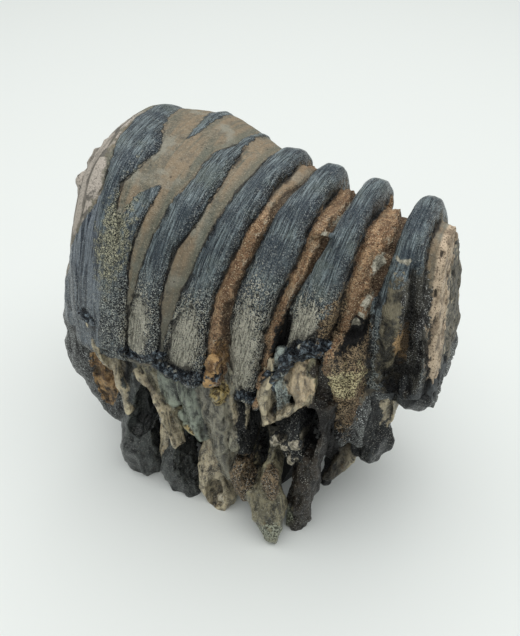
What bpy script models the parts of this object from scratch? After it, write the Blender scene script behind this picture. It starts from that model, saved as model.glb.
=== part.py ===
"""Fossil southern mammoth molar: the rear part of a tooth, standing on its broken roots.

The tooth is laid out in crown coordinates, in millimetres: X runs along the tooth from its
rounded heel to its broken end, Y from the near side to the far side, and Z up from the lower
edge of the enamel. A last step sets it on the ground, with the origin under its middle.
"""

import math
from collections import namedtuple

import bmesh
import bpy
import numpy as np
from mathutils import Vector, noise

MM = 0.001

# Driving dimensions of the crown
CROWN_HEIGHT = 74.0
CROWN_HEIGHT_LOSS = 5.2      # lost over each 70 mm towards the broken end
NEAR_HALF_WIDTH = 47.0
NEAR_NARROWING = 8.8         # near side, over the first 70 mm, growing with the square
REFERENCE_LENGTH = 70.0
NEAR_SQUARENESS = 2.58
HEEL_START = 12.0            # the heel rounds off from here
HEEL_LENGTH = 19.5
HEEL_SQUARENESS = 4.0
HEEL_CAP = 0.3               # the heel's last cross section is this far inside its tip
BROKEN_END = 123.6

# The root cluster
ROOT_HEIGHT = 70.0           # from the ground to the lower edge of the enamel

# Where the finished tooth's middle lies in crown coordinates
MIDDLE_X = 56.6
MIDDLE_Y = -1.3

# Surface
VOXEL = 1.5
ROUGHNESS_SIZE = 7.0
ROUGHNESS_DEPTH = 0.9
TRIANGLES = 8600
LUMPINESS = 0.14             # share by which a root swells and thins
LUMP_SIZE = 6.0

# Fineness of the skins before they are fused
ARCH_STEPS = 40
PLATE_STEPS = 60
CREST_STEPS = 13
HEEL_RINGS = 8
CROWN_RINGS = 38
ROOT_STEPS = 5
ROOT_SIDES = 14

# Section of a plate: a rounded crest on straight flanks that reach down into the cement
PLATE_DEPTH = 10.0
CREST_DEPTH = 5.0
CREST_ROUNDNESS = 0.92
PLATE_FLARE = 1.6            # how late a plate widens towards its lower end

# The cement's body reaches a little below the enamel
CEMENT_FLOOR = -4.0
CEMENT_FLOOR_WIDTH = 0.9

# Rounded end of a root: share of its size, and how far past its last knot
ROOT_END = ((1.0, 0.0), (0.8, 0.45), (0.4, 0.7))

GROUND_BLOCK = (300.0, 300.0, 50.0)

# Half width of the far side and the squareness of its arch, at stations along the tooth
FAR_STATIONS = (11.5, 26.0, 39.0, 58.0, 74.0, 90.0, 111.5, 125.0)
FAR_HALF_WIDTHS = (47.0, 51.0, 45.0, 31.0, 25.5, 25.0, 24.0, 22.0)
FAR_SQUARENESSES = (2.5, 2.7, 2.4, 2.2, 2.1, 2.1, 2.1, 2.1)

Plate = namedtuple("Plate", "station top_half base_half proud near_end far_end")

PLATES = (
    Plate(11.5, 6.0, 7.5, 1.4, 3.0, 4.0),
    Plate(25.0, 4.0, 6.5, 0.7, 2.0, 4.0),
    Plate(38.5, 5.4, 7.6, 1.8, 1.0, 3.0),
    Plate(58.0, 4.8, 9.0, 1.8, -5.0, 2.0),
    Plate(73.7, 5.3, 6.6, 1.8, -9.0, 0.0),
    Plate(90.0, 5.6, 9.0, 1.8, -3.0, 0.0),
    Plate(111.5, 5.8, 9.4, 1.8, -6.0, 2.0),
)

# How far the cement between the plates lies below the arch, at stations along the tooth
CEMENT_STATIONS = (-8.0, 18.0, 32.0, 49.0, 66.0, 82.0, 99.0, 118.0)
CEMENT_DEPTHS = (0.5, 0.4, 0.0, 0.8, 3.8, 6.8, 8.0, 5.0)

# Each plate's lean towards the broken end (per mm of height) and skew (per mm of width)
LEAN_STATIONS = (-8.0, 11.5, 39.0, 58.0, 74.0, 90.0, 111.5, 125.0)
LEANS = (0.03, 0.12, 0.20, 0.20, 0.15, 0.125, -0.03, -0.15)
SKEWS = (-0.06, -0.06, 0.0, 0.07, 0.045, 0.05, 0.05, 0.0)
LEAN_CENTRE = 40.0

# A root or lobe: a path of (x, y, z, half width along X, half depth along Y)
NEAR_ROOTS = {
    "heel flank": ((0, -16, 38, 6, 14), (-1, -20, 22, 11.5, 18), (-1.5, -24, 4, 14, 17),
                   (-1.5, -28, -10, 15, 14), (0, -30, -24, 15.5, 12), (4, -31, -37, 13, 10),
                   (10, -32, -47, 9, 8), (13.5, -32, -53, 4.5, 5)),
    "first lobe": ((22, -32, 0, 9, 8), (20, -35, -30, 7, 7), (17, -38, -48, 8.5, 8),
                   (18, -41, -60, 8.5, 8), (20, -41, -71, 6, 6)),
    "second lobe": ((36, -32, 0, 8, 7), (37, -36, -40, 6, 6), (38, -41, -57, 8, 7),
                    (40, -42, -71, 7.5, 5.5)),
    "hollow root": ((52, -28, -2, 7, 6), (53, -34, -36, 6.5, 6.5), (53, -39, -52, 7, 7),
                    (55, -41, -62, 7, 7), (56, -41, -71, 6.5, 6.5)),
    "smooth wedge": ((45, -35, 4, 11, 5), (47, -37, -12, 10.5, 5), (51, -38, -26, 8, 5),
                     (56, -39, -40, 5.5, 5), (62, -40, -53, 3, 3.5)),
    "first wedge": ((27, -38, 4, 10, 5), (31, -39, -10, 8, 5), (35, -41, -24, 5, 4.5),
                    (39, -43, -37, 2.5, 3)),
    "fin": ((24, -38, -4, 3.5, 6), (28, -41, -22, 3, 5), (32, -44, -38, 2.6, 5),
            (35, -45, -55, 2.6, 4), (36, -44, -62, 2, 3)),
    "slat": ((14, -39, 4, 3, 5), (17, -41, -18, 2.2, 4), (20, -42, -36, 1.8, 3)),
    "round lobe": ((69, -36, -20, 5, 5), (70, -43, -33, 5.5, 5.5), (70.5, -45, -42, 6, 6),
                   (71, -45, -50, 4, 4)),
    "long root": ((74, -30, -10, 7, 6), (75, -37, -33, 6.5, 6), (78, -43, -43, 7.5, 6.5),
                  (81, -47, -53, 7.5, 6), (83, -49, -62, 5.2, 4.8), (84, -50, -69, 2.6, 2.6)),
    "straight root": ((94, -28, 0, 7, 7), (92, -33, -14, 6, 6), (91, -35, -30, 5.6, 6),
                      (90, -37, -50, 5.6, 6), (89, -38, -71, 5.6, 6)),
    "ragged lobe": ((81, -29, 16, 8, 6), (83, -34, -4, 9, 7), (86, -38, -17, 9, 7),
                    (88, -40, -27, 7, 6), (88, -39, -34, 3, 3)),
    "grey stump": ((78, -29, 18, 5, 6), (77, -33, -2, 5, 5), (74.5, -35, -16, 3.4, 4),
                   (73, -35, -22, 1.8, 2)),
    "third plate foot": ((66, -30, 4, 8, 7), (66, -32, -12, 6.5, 6), (65, -35, -26, 5.5, 6),
                         (66, -38, -38, 3.5, 4)),
    "strip column": ((98, -16, 24, 5.5, 9), (100, -19, 5, 5.5, 7), (103, -20, -10, 5.5, 6.5),
                     (105, -20, -25, 5, 5)),
    "end lobe": ((106, -12, 0, 9, 10), (107, -16, -16, 9, 8), (109, -19, -26, 8.5, 7),
                 (111, -20, -33, 6, 5)),
    "end slat": ((114, -12, 8, 3, 7), (116, -15, -10, 2.4, 5), (116, -15, -21, 1.6, 3)),
    "end knob": ((118, -8, 14, 6, 8), (122, -13, 8, 7.5, 6), (123, -14, 4, 6.5, 4.5)),
    "dark panel": ((93, -16, 10, 7, 8), (95, -19, -20, 6, 5), (96, -20, -40, 4.5, 4)),
    "thin sheet": ((103, -15, -24, 4, 2.4), (98, -20, -44, 5, 2.2), (95, -22, -60, 3.4, 1.8)),
}

# Hollows, laid out like the roots
HOLLOWS = {
    "last plate": ((113, -23, 53, 3.0, 6), (114, -26, 42, 5, 8), (115, -28, 22, 5.6, 9),
                   (115, -29, 8, 4.6, 8)),
    "fifth plate": ((88, -34, 23, 5, 7), (88, -35, 12, 6.2, 9), (87, -37, 0, 5.6, 10),
                    (86, -39, -6, 4, 8)),
    "root mouth": ((60, -50, -50, 3, 5), (58, -49, -58, 3.6, 6), (57, -49, -66, 3, 5)),
    "left cave": ((22, -44, -26, 5, 14), (20, -46, -36, 6, 16), (18, -46, -43, 4, 12)),
    "middle cave": ((38, -46, -42, 3.6, 14), (41, -46, -50, 5, 16), (43, -46, -58, 3.6, 12)),
    "foot cave": ((69, -42, -13, 3.2, 12), (69, -42, -20, 3.4, 12), (69, -42, -27, 2.6, 10)),
    "deep gap": ((70, -42, -30, 3, 16), (72, -42, -38, 4, 18), (73, -42, -47, 3, 14)),
    "panel cave": ((91, -34, -6, 3, 13), (91, -34, -14, 3.4, 13), (91, -34, -24, 2.6, 12)),
}

FAR_ROOTS = {
    "heel stump": ((4, 22, 10, 9, 15), (5, 26, -20, 9, 11), (9, 28, -42, 7, 8), (13, 29, -54, 4, 5)),
    "first stump": ((22, 30, 6, 10, 10), (22, 34, -25, 8, 8), (24, 36, -50, 7.5, 8), (25, 36, -71, 6.5, 7)),
    "second stump": ((41, 29, 4, 9, 9), (42, 32, -24, 8, 7.5), (42, 34, -48, 7, 6.5), (42, 34, -61, 4, 4)),
    "third stump": ((58, 24, 4, 9, 9), (59, 28, -28, 7.5, 7.5), (60, 31, -52, 7, 7), (60, 32, -71, 6, 6)),
    "fourth stump": ((76, 20, 4, 9, 9), (76, 24, -22, 8, 7), (76, 27, -46, 7, 7), (76, 28, -61, 5, 5)),
    "fifth stump": ((93, 17, 4, 9, 9), (92, 21, -26, 8, 7.5), (91, 24, -50, 7, 7), (90, 26, -71, 6, 6)),
    "sixth stump": ((109, 13, 6, 9, 10), (109, 16, -14, 8, 8), (109, 18, -32, 5.5, 6), (108, 18, -41, 3, 3)),
}

MIDDLE_ROOTS = {
    "first core": ((18, -2, 6, 20, 32), (21, -3, -22, 16, 28), (24, -7, -44, 14, 27), (27, -9, -56, 13, 24)),
    "second core": ((42, -2, 4, 20, 32), (43, -4, -26, 17, 28), (44, -7, -44, 15, 27), (45, -9, -56, 13, 24)),
    "third core": ((66, -3, 4, 20, 28), (67, -5, -26, 16, 25), (68, -8, -45, 14, 24), (69, -11, -56, 13, 22)),
    "fourth core": ((90, -2, 4, 18, 23), (90, -3, -22, 14, 20), (90, -7, -41, 12, 19), (89, -10, -56, 10, 16)),
    "end core": ((108, 0, 8, 14, 20), (108, -1, -10, 11, 17), (108, -1, -24, 7, 12)),
}


def near_half_width(x):
    return NEAR_HALF_WIDTH - NEAR_NARROWING * (x / REFERENCE_LENGTH) ** 2


def far_half_width(x):
    return float(np.interp(x, FAR_STATIONS, FAR_HALF_WIDTHS))


def far_squareness(x):
    return float(np.interp(x, FAR_STATIONS, FAR_SQUARENESSES))


def crown_height(x):
    return CROWN_HEIGHT - CROWN_HEIGHT_LOSS * x / REFERENCE_LENGTH


def heel_scale(x):
    """Share of the full arch that is left at x, from 1 down to 0 at the heel's end."""
    past = max(0.0, (HEEL_START - x) / HEEL_LENGTH)
    return max(0.0, 1.0 - past ** HEEL_SQUARENESS) ** (1.0 / HEEL_SQUARENESS)


def arch_point(x, angle, offset):
    """Point and outward direction on the crown's arch, offset mm outside it."""
    cosine = math.cos(angle)
    sine = math.sin(angle)
    near = cosine > 0.0
    half = near_half_width(x) if near else far_half_width(x)
    power = 2.0 / (NEAR_SQUARENESS if near else far_squareness(x))
    scale = heel_scale(x)
    y = -math.copysign(abs(cosine) ** power, cosine) * half * scale
    z = abs(sine) ** power * crown_height(x) * scale
    normal = Vector((0.0, -math.copysign(abs(cosine) ** (2.0 - power), cosine) / half,
                     abs(sine) ** (2.0 - power) / crown_height(x)))
    normal.normalize()
    return Vector((x, y, z)) + normal * offset, normal


def leaned(point):
    """Move a point as the plates lean and skew at its station."""
    lean = float(np.interp(point.x, LEAN_STATIONS, LEANS))
    skew = float(np.interp(point.x, LEAN_STATIONS, SKEWS))
    shift = lean * (point.z - LEAN_CENTRE) + skew * point.y
    return Vector((point.x + shift, point.y, point.z))


def add_rings(mesh, rings):
    """Join rings of points into one closed skin with flat ends."""
    rows = [[mesh.verts.new(point * MM) for point in ring] for ring in rings]
    count = len(rows[0])
    for first, second in zip(rows, rows[1:]):
        for i in range(count):
            j = (i + 1) % count
            mesh.faces.new((first[i], first[j], second[j], second[i]))
    mesh.faces.new(list(reversed(rows[0])))
    mesh.faces.new(rows[-1])


def cement_depth(x):
    return float(np.interp(x, CEMENT_STATIONS, CEMENT_DEPTHS))


def add_cement(mesh):
    """The body of the crown between the plates."""
    heel_tip = HEEL_START - HEEL_LENGTH + HEEL_CAP
    stations = np.concatenate((np.linspace(heel_tip, HEEL_START, HEEL_RINGS, endpoint=False),
                               np.linspace(HEEL_START, BROKEN_END, CROWN_RINGS)))
    rings = []
    for x in stations:
        ring = []
        for angle in np.linspace(0.0, math.pi, ARCH_STEPS):
            point, _ = arch_point(x, angle, -cement_depth(x) * heel_scale(x))
            ring.append(point)
        ring.append(Vector((x, ring[-1].y * CEMENT_FLOOR_WIDTH, CEMENT_FLOOR)))
        ring.append(Vector((x, ring[0].y * CEMENT_FLOOR_WIDTH, CEMENT_FLOOR)))
        rings.append([leaned(point) for point in ring])
    add_rings(mesh, rings)


def plate_half_thickness(plate, z):
    share = min(1.0, max(0.0, z / CROWN_HEIGHT))
    return plate.top_half + (plate.base_half - plate.top_half) * (1.0 - share) ** PLATE_FLARE


def plate_section(half, crest):
    """Section across a plate: a rounded crest on straight flanks."""
    section = [(-half, -PLATE_DEPTH)]
    for angle in np.linspace(math.pi, 0.0, CREST_STEPS):
        cosine = math.cos(angle)
        across = math.copysign(abs(cosine) ** CREST_ROUNDNESS, cosine) * half
        out = crest - CREST_DEPTH + CREST_DEPTH * math.sin(angle) ** CREST_ROUNDNESS
        section.append((across, out))
    section.append((half, -PLATE_DEPTH))
    return section


def add_plate(mesh, plate):
    """One enamel plate, from its near lower end over the top to its far lower end."""
    stops = []
    near_foot, near_normal = arch_point(plate.station, 0.0, 0.0)
    far_foot, far_normal = arch_point(plate.station, math.pi, 0.0)
    if plate.near_end < 0.0:
        for z in np.linspace(plate.near_end, -1.0, 3):
            stops.append((Vector((plate.station, near_foot.y, z)), near_normal))
    for angle in np.linspace(0.0, math.pi, PLATE_STEPS):
        point, normal = arch_point(plate.station, angle, 0.0)
        end = plate.near_end if point.y < 0.0 else plate.far_end
        if point.z >= end:
            stops.append((point, normal))
    rings = []
    for point, normal in stops:
        half = plate_half_thickness(plate, point.z)
        ring = []
        for across, out in plate_section(half, plate.proud):
            ring.append(leaned(point + normal * out + Vector((across, 0.0, 0.0))))
        rings.append(ring)
    add_rings(mesh, rings)


def smooth_path(knots, steps):
    """Points on a smooth curve through the knots, each with its two half sizes."""
    knots = np.array(knots, dtype=float)
    padded = np.vstack((2 * knots[0] - knots[1], knots, 2 * knots[-1] - knots[-2]))
    points = []
    for i in range(1, len(padded) - 2):
        before, start, end, after = padded[i - 1:i + 3]
        for t in np.linspace(0.0, 1.0, steps, endpoint=False):
            points.append(0.5 * (2 * start + (end - before) * t
                                 + (2 * before - 5 * start + 4 * end - after) * t ** 2
                                 + (3 * start - before - 3 * end + after) * t ** 3))
    points.append(padded[-2])
    return np.array(points)


def add_root(mesh, knots):
    """A root or lobe swept along its path, flat at its first end and rounded at its last."""
    path = smooth_path(knots, ROOT_STEPS)
    centres = path[:, :3]
    tangents = np.gradient(centres, axis=0)
    rings = []
    last = len(path) - 1
    for i, row in enumerate(path):
        tangent = Vector(tangents[i]).normalized()
        across = (Vector((1.0, 0.0, 0.0)) - tangent * tangent.x).normalized()
        deep = tangent.cross(across)
        sizes = ROOT_END if i == last else ROOT_END[:1]
        for size, past in sizes:
            centre = Vector(row[:3]) + tangent * past * min(row[3], row[4])
            ring = []
            for k in range(ROOT_SIDES):
                angle = 2.0 * math.pi * k / ROOT_SIDES
                spoke = across * math.cos(angle) * row[3] + deep * math.sin(angle) * row[4]
                swell = 1.0 + LUMPINESS * noise.noise((centre + spoke * size) / LUMP_SIZE)
                ring.append(centre + spoke * size * swell)
            rings.append(ring)
    add_rings(mesh, rings)


def finished_mesh(name, mesh):
    """Set the skins on the ground, under the origin, with their faces pointing out."""
    shift = Vector((-MIDDLE_X, -MIDDLE_Y, ROOT_HEIGHT)) * MM
    bmesh.ops.translate(mesh, verts=mesh.verts, vec=shift)
    bmesh.ops.recalc_face_normals(mesh, faces=mesh.faces)
    data = bpy.data.meshes.new(name)
    mesh.to_mesh(data)
    mesh.free()
    return data


def add_object(name, data):
    thing = bpy.data.objects.new(name, data)
    bpy.context.scene.collection.objects.link(thing)
    return thing


def raw_tooth():
    """Plates, cement and roots as overlapping closed skins in one object."""
    mesh = bmesh.new()
    add_cement(mesh)
    for plate in PLATES:
        add_plate(mesh, plate)
    for group in (NEAR_ROOTS, FAR_ROOTS, MIDDLE_ROOTS):
        for knots in group.values():
            add_root(mesh, knots)
    return add_object("molar", finished_mesh("molar", mesh))


def as_cutter(thing):
    thing.hide_render = True
    thing.display_type = "WIRE"
    return thing


def hollow_cutter():
    """What is missing from the broken plates, root ends and gaps."""
    mesh = bmesh.new()
    for knots in HOLLOWS.values():
        add_root(mesh, knots)
    cutter = as_cutter(add_object("hollow_cutter", finished_mesh("hollow_cutter", mesh)))
    voxel_fuse(cutter, "fuse")
    return cutter


def voxel_fuse(thing, name):
    fuse = thing.modifiers.new(name, "REMESH")
    fuse.mode = "VOXEL"
    fuse.voxel_size = VOXEL * MM


def take_away(thing, name, cutter):
    cut = thing.modifiers.new(name, "BOOLEAN")
    cut.operation = "DIFFERENCE"
    cut.object = cutter


def ground_cutter():
    """A block below the ground, which breaks the longest roots off flat."""
    mesh = bmesh.new()
    size = Vector(GROUND_BLOCK) * MM
    bmesh.ops.create_cube(mesh, size=1.0)
    bmesh.ops.scale(mesh, verts=mesh.verts, vec=size)
    bmesh.ops.translate(mesh, verts=mesh.verts, vec=Vector((0.0, 0.0, -0.5 * size.z)))
    data = bpy.data.meshes.new("ground_cutter")
    mesh.to_mesh(data)
    mesh.free()
    return as_cutter(add_object("ground_cutter", data))


def tooth_material():
    material = bpy.data.materials.new("tooth")
    material.use_nodes = True
    shader = material.node_tree.nodes["Principled BSDF"]
    shader.inputs["Base Color"].default_value = (0.10, 0.095, 0.09, 1.0)
    shader.inputs["Roughness"].default_value = 0.45
    shader.inputs["Metallic"].default_value = 0.0
    return material


def add_surface(molar):
    """Fuse the skins, hollow and roughen them, thin out the facets and break the roots off flat."""
    voxel_fuse(molar, "fuse the skins")
    take_away(molar, "hollow", hollow_cutter())
    voxel_fuse(molar, "even out")
    soften = molar.modifiers.new("soften", "SMOOTH")
    soften.factor = 0.5
    soften.iterations = 2
    clouds = bpy.data.textures.new("worn surface", "CLOUDS")
    clouds.noise_scale = ROUGHNESS_SIZE * MM
    roughen = molar.modifiers.new("roughen", "DISPLACE")
    roughen.texture = clouds
    roughen.texture_coords = "LOCAL"
    roughen.strength = 2.0 * ROUGHNESS_DEPTH * MM
    roughen.mid_level = 0.5
    thin = molar.modifiers.new("thin out", "DECIMATE")
    bpy.context.view_layer.update()
    graph = bpy.context.evaluated_depsgraph_get()
    faces = len(molar.evaluated_get(graph).data.polygons)
    thin.ratio = TRIANGLES / (2.0 * faces)
    take_away(molar, "stand flat", ground_cutter())


def main():
    for thing in list(bpy.data.objects):
        bpy.data.objects.remove(thing, do_unlink=True)
    molar = raw_tooth()
    molar.data.materials.append(tooth_material())
    add_surface(molar)


main()
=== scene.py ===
"""Looks of a fossil southern mammoth molar: enamel plates in cement on a cluster of broken roots.

The tooth is laid out in crown coordinates, in millimetres, as in the part: x runs along the tooth
from its rounded heel to its broken end, y from the near side to the far side, and z up from the
lower edge of the enamel. A station is an x before the plates' lean is added.
"""
import itertools
import math
from collections import namedtuple

import bpy
import numpy as np
from mathutils import Matrix, Vector


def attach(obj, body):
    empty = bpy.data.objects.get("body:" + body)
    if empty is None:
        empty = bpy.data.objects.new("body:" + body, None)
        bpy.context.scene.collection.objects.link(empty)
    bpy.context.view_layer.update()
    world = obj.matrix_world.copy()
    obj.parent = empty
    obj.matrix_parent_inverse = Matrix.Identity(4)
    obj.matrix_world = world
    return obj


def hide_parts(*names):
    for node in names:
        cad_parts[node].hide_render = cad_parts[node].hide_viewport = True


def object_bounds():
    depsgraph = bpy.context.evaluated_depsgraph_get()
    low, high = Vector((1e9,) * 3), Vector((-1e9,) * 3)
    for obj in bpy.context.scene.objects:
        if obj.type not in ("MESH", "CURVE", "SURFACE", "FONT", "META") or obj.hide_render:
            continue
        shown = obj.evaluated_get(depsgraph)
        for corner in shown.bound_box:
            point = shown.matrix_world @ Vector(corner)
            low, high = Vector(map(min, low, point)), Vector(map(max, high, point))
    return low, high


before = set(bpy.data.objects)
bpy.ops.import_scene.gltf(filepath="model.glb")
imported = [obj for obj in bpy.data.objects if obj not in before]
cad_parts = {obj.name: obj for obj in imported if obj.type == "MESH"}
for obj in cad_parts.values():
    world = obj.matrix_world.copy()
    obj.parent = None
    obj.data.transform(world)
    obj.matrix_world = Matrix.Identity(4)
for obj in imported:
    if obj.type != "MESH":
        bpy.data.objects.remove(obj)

MM = 0.001
CAD_LOW, CAD_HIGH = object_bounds()

# Crown, as in the part
CROWN_HEIGHT = 74.0
CROWN_HEIGHT_LOSS = 5.2
NEAR_HALF_WIDTH = 47.0
NEAR_NARROWING = 8.8
REFERENCE_LENGTH = 70.0
NEAR_SQUARENESS = 2.58
HEEL_START = 12.0
HEEL_LENGTH = 19.5
HEEL_SQUARENESS = 4.0
HEEL_CAP = 0.3
BROKEN_END = 123.6
FAR_STATIONS = (11.5, 26.0, 39.0, 58.0, 74.0, 90.0, 111.5, 125.0)
FAR_HALF_WIDTHS = (47.0, 51.0, 45.0, 31.0, 25.5, 25.0, 24.0, 22.0)
FAR_SQUARENESSES = (2.5, 2.7, 2.4, 2.2, 2.1, 2.1, 2.1, 2.1)
LEAN_STATIONS = (-8.0, 11.5, 39.0, 58.0, 74.0, 90.0, 111.5, 125.0)
LEANS = (0.03, 0.12, 0.20, 0.20, 0.15, 0.125, -0.03, -0.15)
SKEWS = (-0.06, -0.06, 0.0, 0.07, 0.045, 0.05, 0.05, 0.0)
LEAN_CENTRE = 40.0
CEMENT_STATIONS = (-8.0, 18.0, 32.0, 49.0, 66.0, 82.0, 99.0, 118.0)
CEMENT_DEPTHS = (1.4, 0.4, 0.2, 0.9, 3.8, 6.8, 8.0, 5.0)

# Share of the strips' depth at angles round the arch, less on the near flank than at the crest
DEPTH_ANGLES = (0.0, 1.1, 1.45)
DEPTH_SHARES = (0.40, 0.46, 1.0)

# From crown coordinates to the part's frame
SHIFT = np.array((-56.6, 1.3, 70.0))

# Length round the arch for each radian, used to run patterns along the plates
ARCH_RADIUS = 55.0

COARSE = 1.0
CROWN_VOXEL = 0.6
NEAR_VOXEL = 0.5
FAR_VOXEL = 0.8
TRIANGLES = 195000
FAR_TRIANGLES = 120000

# Where y is below this, on the near side, most triangles are kept
FINE_LIMIT = 2.0

# Seeds, one for each skin from these on
ROOT_SEED = 300
ROOT_LUMP_SEED = 400
CROWN_ROOT_SEED = 100
RIM_SEED = 150
CROWN_LUMP_SEED = 200

# Large numbers that scatter the cells of a lattice, and the range of what comes out
CELL_FACTORS = (73856093, 19349663, 83492791)
SEED_FACTOR = 2654435761
SCATTER_STEPS = ((13, 1274126177), (16, 2246822519))
LOW_BITS = 0xFFFFFFFF
HALF_RANGE = 2147483647.5

# Distances in mm for points far outside a zone, and far away from a line
OUTSIDE = -9.0
FAR_AWAY = 9.0

# Station of the broken end face
END_FACE = 121.2

# The heel lies left of a station. Its enamel reaches up to one height all round it and to a second
# on the near side, where the last value is its distance from a border.
HEEL_REACH = 12.0
HEEL_ENAMEL_TOP = 50.0
HEEL_NEAR_TOP = 62.0
HEEL_ENAMEL = 3.0

# Heights where the gap beside the heel plate begins, and the one beside the branch plate ends
HEEL_GAP_LOW = 58.0
BRANCH_GAP_HIGH = 62.0

# Plates with a worn-down strip on their right, counted in PLATES from 0, and where the ledge stands
# in such a strip, as a share of its width
PLATES_BEFORE_STRIPS = (3, 4, 5)
LEDGE_SHARE = 0.68

# The pale heel's lower border: a (station, z) place on it, its slope, and the distance from it for
# each mm of height
PALE_HEEL_PLACE = (2.8, 48.9)
PALE_HEEL_SLOPE = 2.19
PALE_HEEL_DISTANCE = 0.42

# Right border of the striped flank, and of the pale heel, as stations at heights
FLANK_HEIGHTS = (0, 19, 36, 49, 57, 60, 64, 74)
FLANK_STATIONS = (14, 15, 15.5, 12.4, 10, 8.9, 3.9, 2)
PALE_HEEL_HEIGHTS = (61.4, 68, 71, 72.5, 74)
PALE_HEEL_STATIONS = (8.6, 6.2, 4.6, 3.6, 3.4)

# Height at which the crown ends and the roots begin, at places along X
CROWN_LINE_X = (-20, -4, 8, 18, 36, 44, 58, 66, 70, 80, 84, 92, 97, 98.5, 104, 106, 112, 124)
CROWN_LINE_Z = (6, 2, 2, 0, -2, -2, -4, -6, -8, 2, 14, 14, 14, -14, -14, 0, 4, 5)

# Heights in metres over which the enamel turns gritty, and over which the worn-down strips begin
GRITTY_HEIGHTS = (0.122, 0.085)
STRIP_HEIGHTS = (0.139, 0.131)

# Floor, and light: an even glow and one soft square light overhead, aimed at the tooth's middle
FLOOR_HALF_SIZE = 4.0
FLOOR_COLOUR = (0.80, 0.83, 0.81, 1.0)
FLOOR_ROUGHNESS = 0.8
GLOW_COLOUR = (0.97, 1.0, 0.98, 1.0)
GLOW_STRENGTH = 0.34
OVERHEAD_PLACE = (0.02, 0.04, 1.15)
OVERHEAD_SIZE = 1.8
OVERHEAD_POWER = 18.4
TOOTH_MIDDLE = (0.0, 0.0, 0.06)

# The photo's viewpoint in degrees and metres, its focal length as a share of the picture's height,
# and the height of the sensor in mm
CAMERA_AZIMUTH = 25.605
CAMERA_ELEVATION = 42.0
CAMERA_PLACE = (0.0875, -0.1855, 0.2537)
FOCAL_LENGTH = 700.0 / 636.0
SENSOR_HEIGHT = 36.0

Plate = namedtuple("Plate", "name proud near_end far_end edges")

# Each plate's left and right edge, as (length along the plate, left station, right station). The
# length runs from the near lower end, is 86 at the crest and 173 at the far lower end. A plate whose
# left edge lies right of its right edge is buried there. How far it stands proud, in mm, is given at
# the lengths in PROUD_STOPS.
PLATES = (
    Plate("heel plate", (1.0, 1.0, 1.6, 0.8, -0.1, -0.4), 3.0, 4.0, (
        (0, 4, 27), (20, 4, 26), (36, 4, 25.5), (45, 5, 24), (50, 6, 20), (57, 7.5, 14.8), (64, 7.5, 13.6),
        (67, 7, 15.7), (71, 6.3, 17.8), (75, 5, 19.6), (80, 4.4, 18), (84.5, 3.6, 14.6), (90, 3.2, 13),
        (98, 3, 11.5), (112, 3, 12), (173, 3, 17))),
    Plate("branch plate", (0.8, 0.8, -1.0, -3.0, 0.0, 0.3), 2.0, 4.0, (
        (0, 17, 27.5), (36, 17, 25.2), (45, 17, 24.3), (51, 17, 23.9), (56.5, 17, 24.6), (62, 20.2, 26),
        (65, 24, 26.8), (66.5, 26.4, 26.4), (69, 27, 25), (80, 26, 24.6), (84, 24.7, 25.5), (88, 23.5, 26.5),
        (100, 22, 27), (173, 21, 28))),
    Plate("first plate", (1.4, 1.8, 1.5, 1.3, 0.5, 0.1), 2.0, 3.0, (
        (0, 27, 42), (23.4, 27.5, 41.5), (33.5, 28, 40), (44.5, 29, 39.2), (53.3, 30, 39.8), (61, 32, 43.5),
        (71.5, 34.9, 45.2), (81, 35.6, 43.6), (84, 37.6, 42.7), (87, 39.6, 42.6), (100, 40, 42.6),
        (118, 38, 43.5), (173, 34, 45))),
    Plate("second plate", (1.6, 2.0, 1.8, 1.8, 1.8, 1.8), -3.0, 2.0, (
        (0, 44.5, 63), (17.8, 44, 60.8), (34.4, 45.7, 59.4), (45.9, 48, 59), (56.6, 49.3, 60.2),
        (66.7, 50.5, 61.4), (78.2, 51.8, 61.8), (173, 51, 63))),
    Plate("third plate", (1.6, 2.0, 1.8, 1.8, 1.8, 1.8), -9.0, 0.0, (
        (-8, 69, 79), (14.3, 67.5, 77.5), (36, 65.7, 76.5), (46.8, 65.2, 77.5), (55.8, 66.2, 78.5),
        (65, 66.4, 79), (80, 69, 79), (173, 68, 80))),
    Plate("fourth plate", (1.6, 2.0, 1.8, 1.8, 1.8, 1.8), 10.0, 0.0, (
        (-3, 83, 97), (19.6, 82.4, 97), (35.6, 81.4, 97), (49.1, 81.7, 96.5), (55.3, 82.6, 96.4),
        (66.7, 85.5, 96.2), (82.1, 86, 95.8), (173, 85, 97))),
    Plate("fifth plate", (1.6, 2.0, 1.8, 1.8, 1.8, 1.8), 4.0, 2.0, (
        (-6, 107.5, 121.6), (24, 107.3, 121.8), (42.8, 106.3, 121.8), (54.1, 105.4, 120.6),
        (62.9, 105.8, 119.2), (70.4, 107, 118.8), (83.5, 107.3, 117.4), (173, 106, 119))),
)
PROUD_STOPS = (20.0, 56.0, 66.0, 75.0, 84.0, 95.0)

# A root or lobe: its section, how fluted and how granular it is, its tone, and a path of
# (x, y, z, half width along X, half depth along Y)
Root = namedtuple("Root", "squareness flutes grain tone knots")

GREY_GREEN = (98, 104, 96)
DARK_GREY = (54, 57, 57)
BONE = (136, 128, 110)
CHIP = (150, 136, 114)
BROWN = (90, 78, 62)
DARK_BROWN = (34, 29, 24)
BLACK = (24, 26, 28)
OLIVE = (96, 92, 76)

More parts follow.
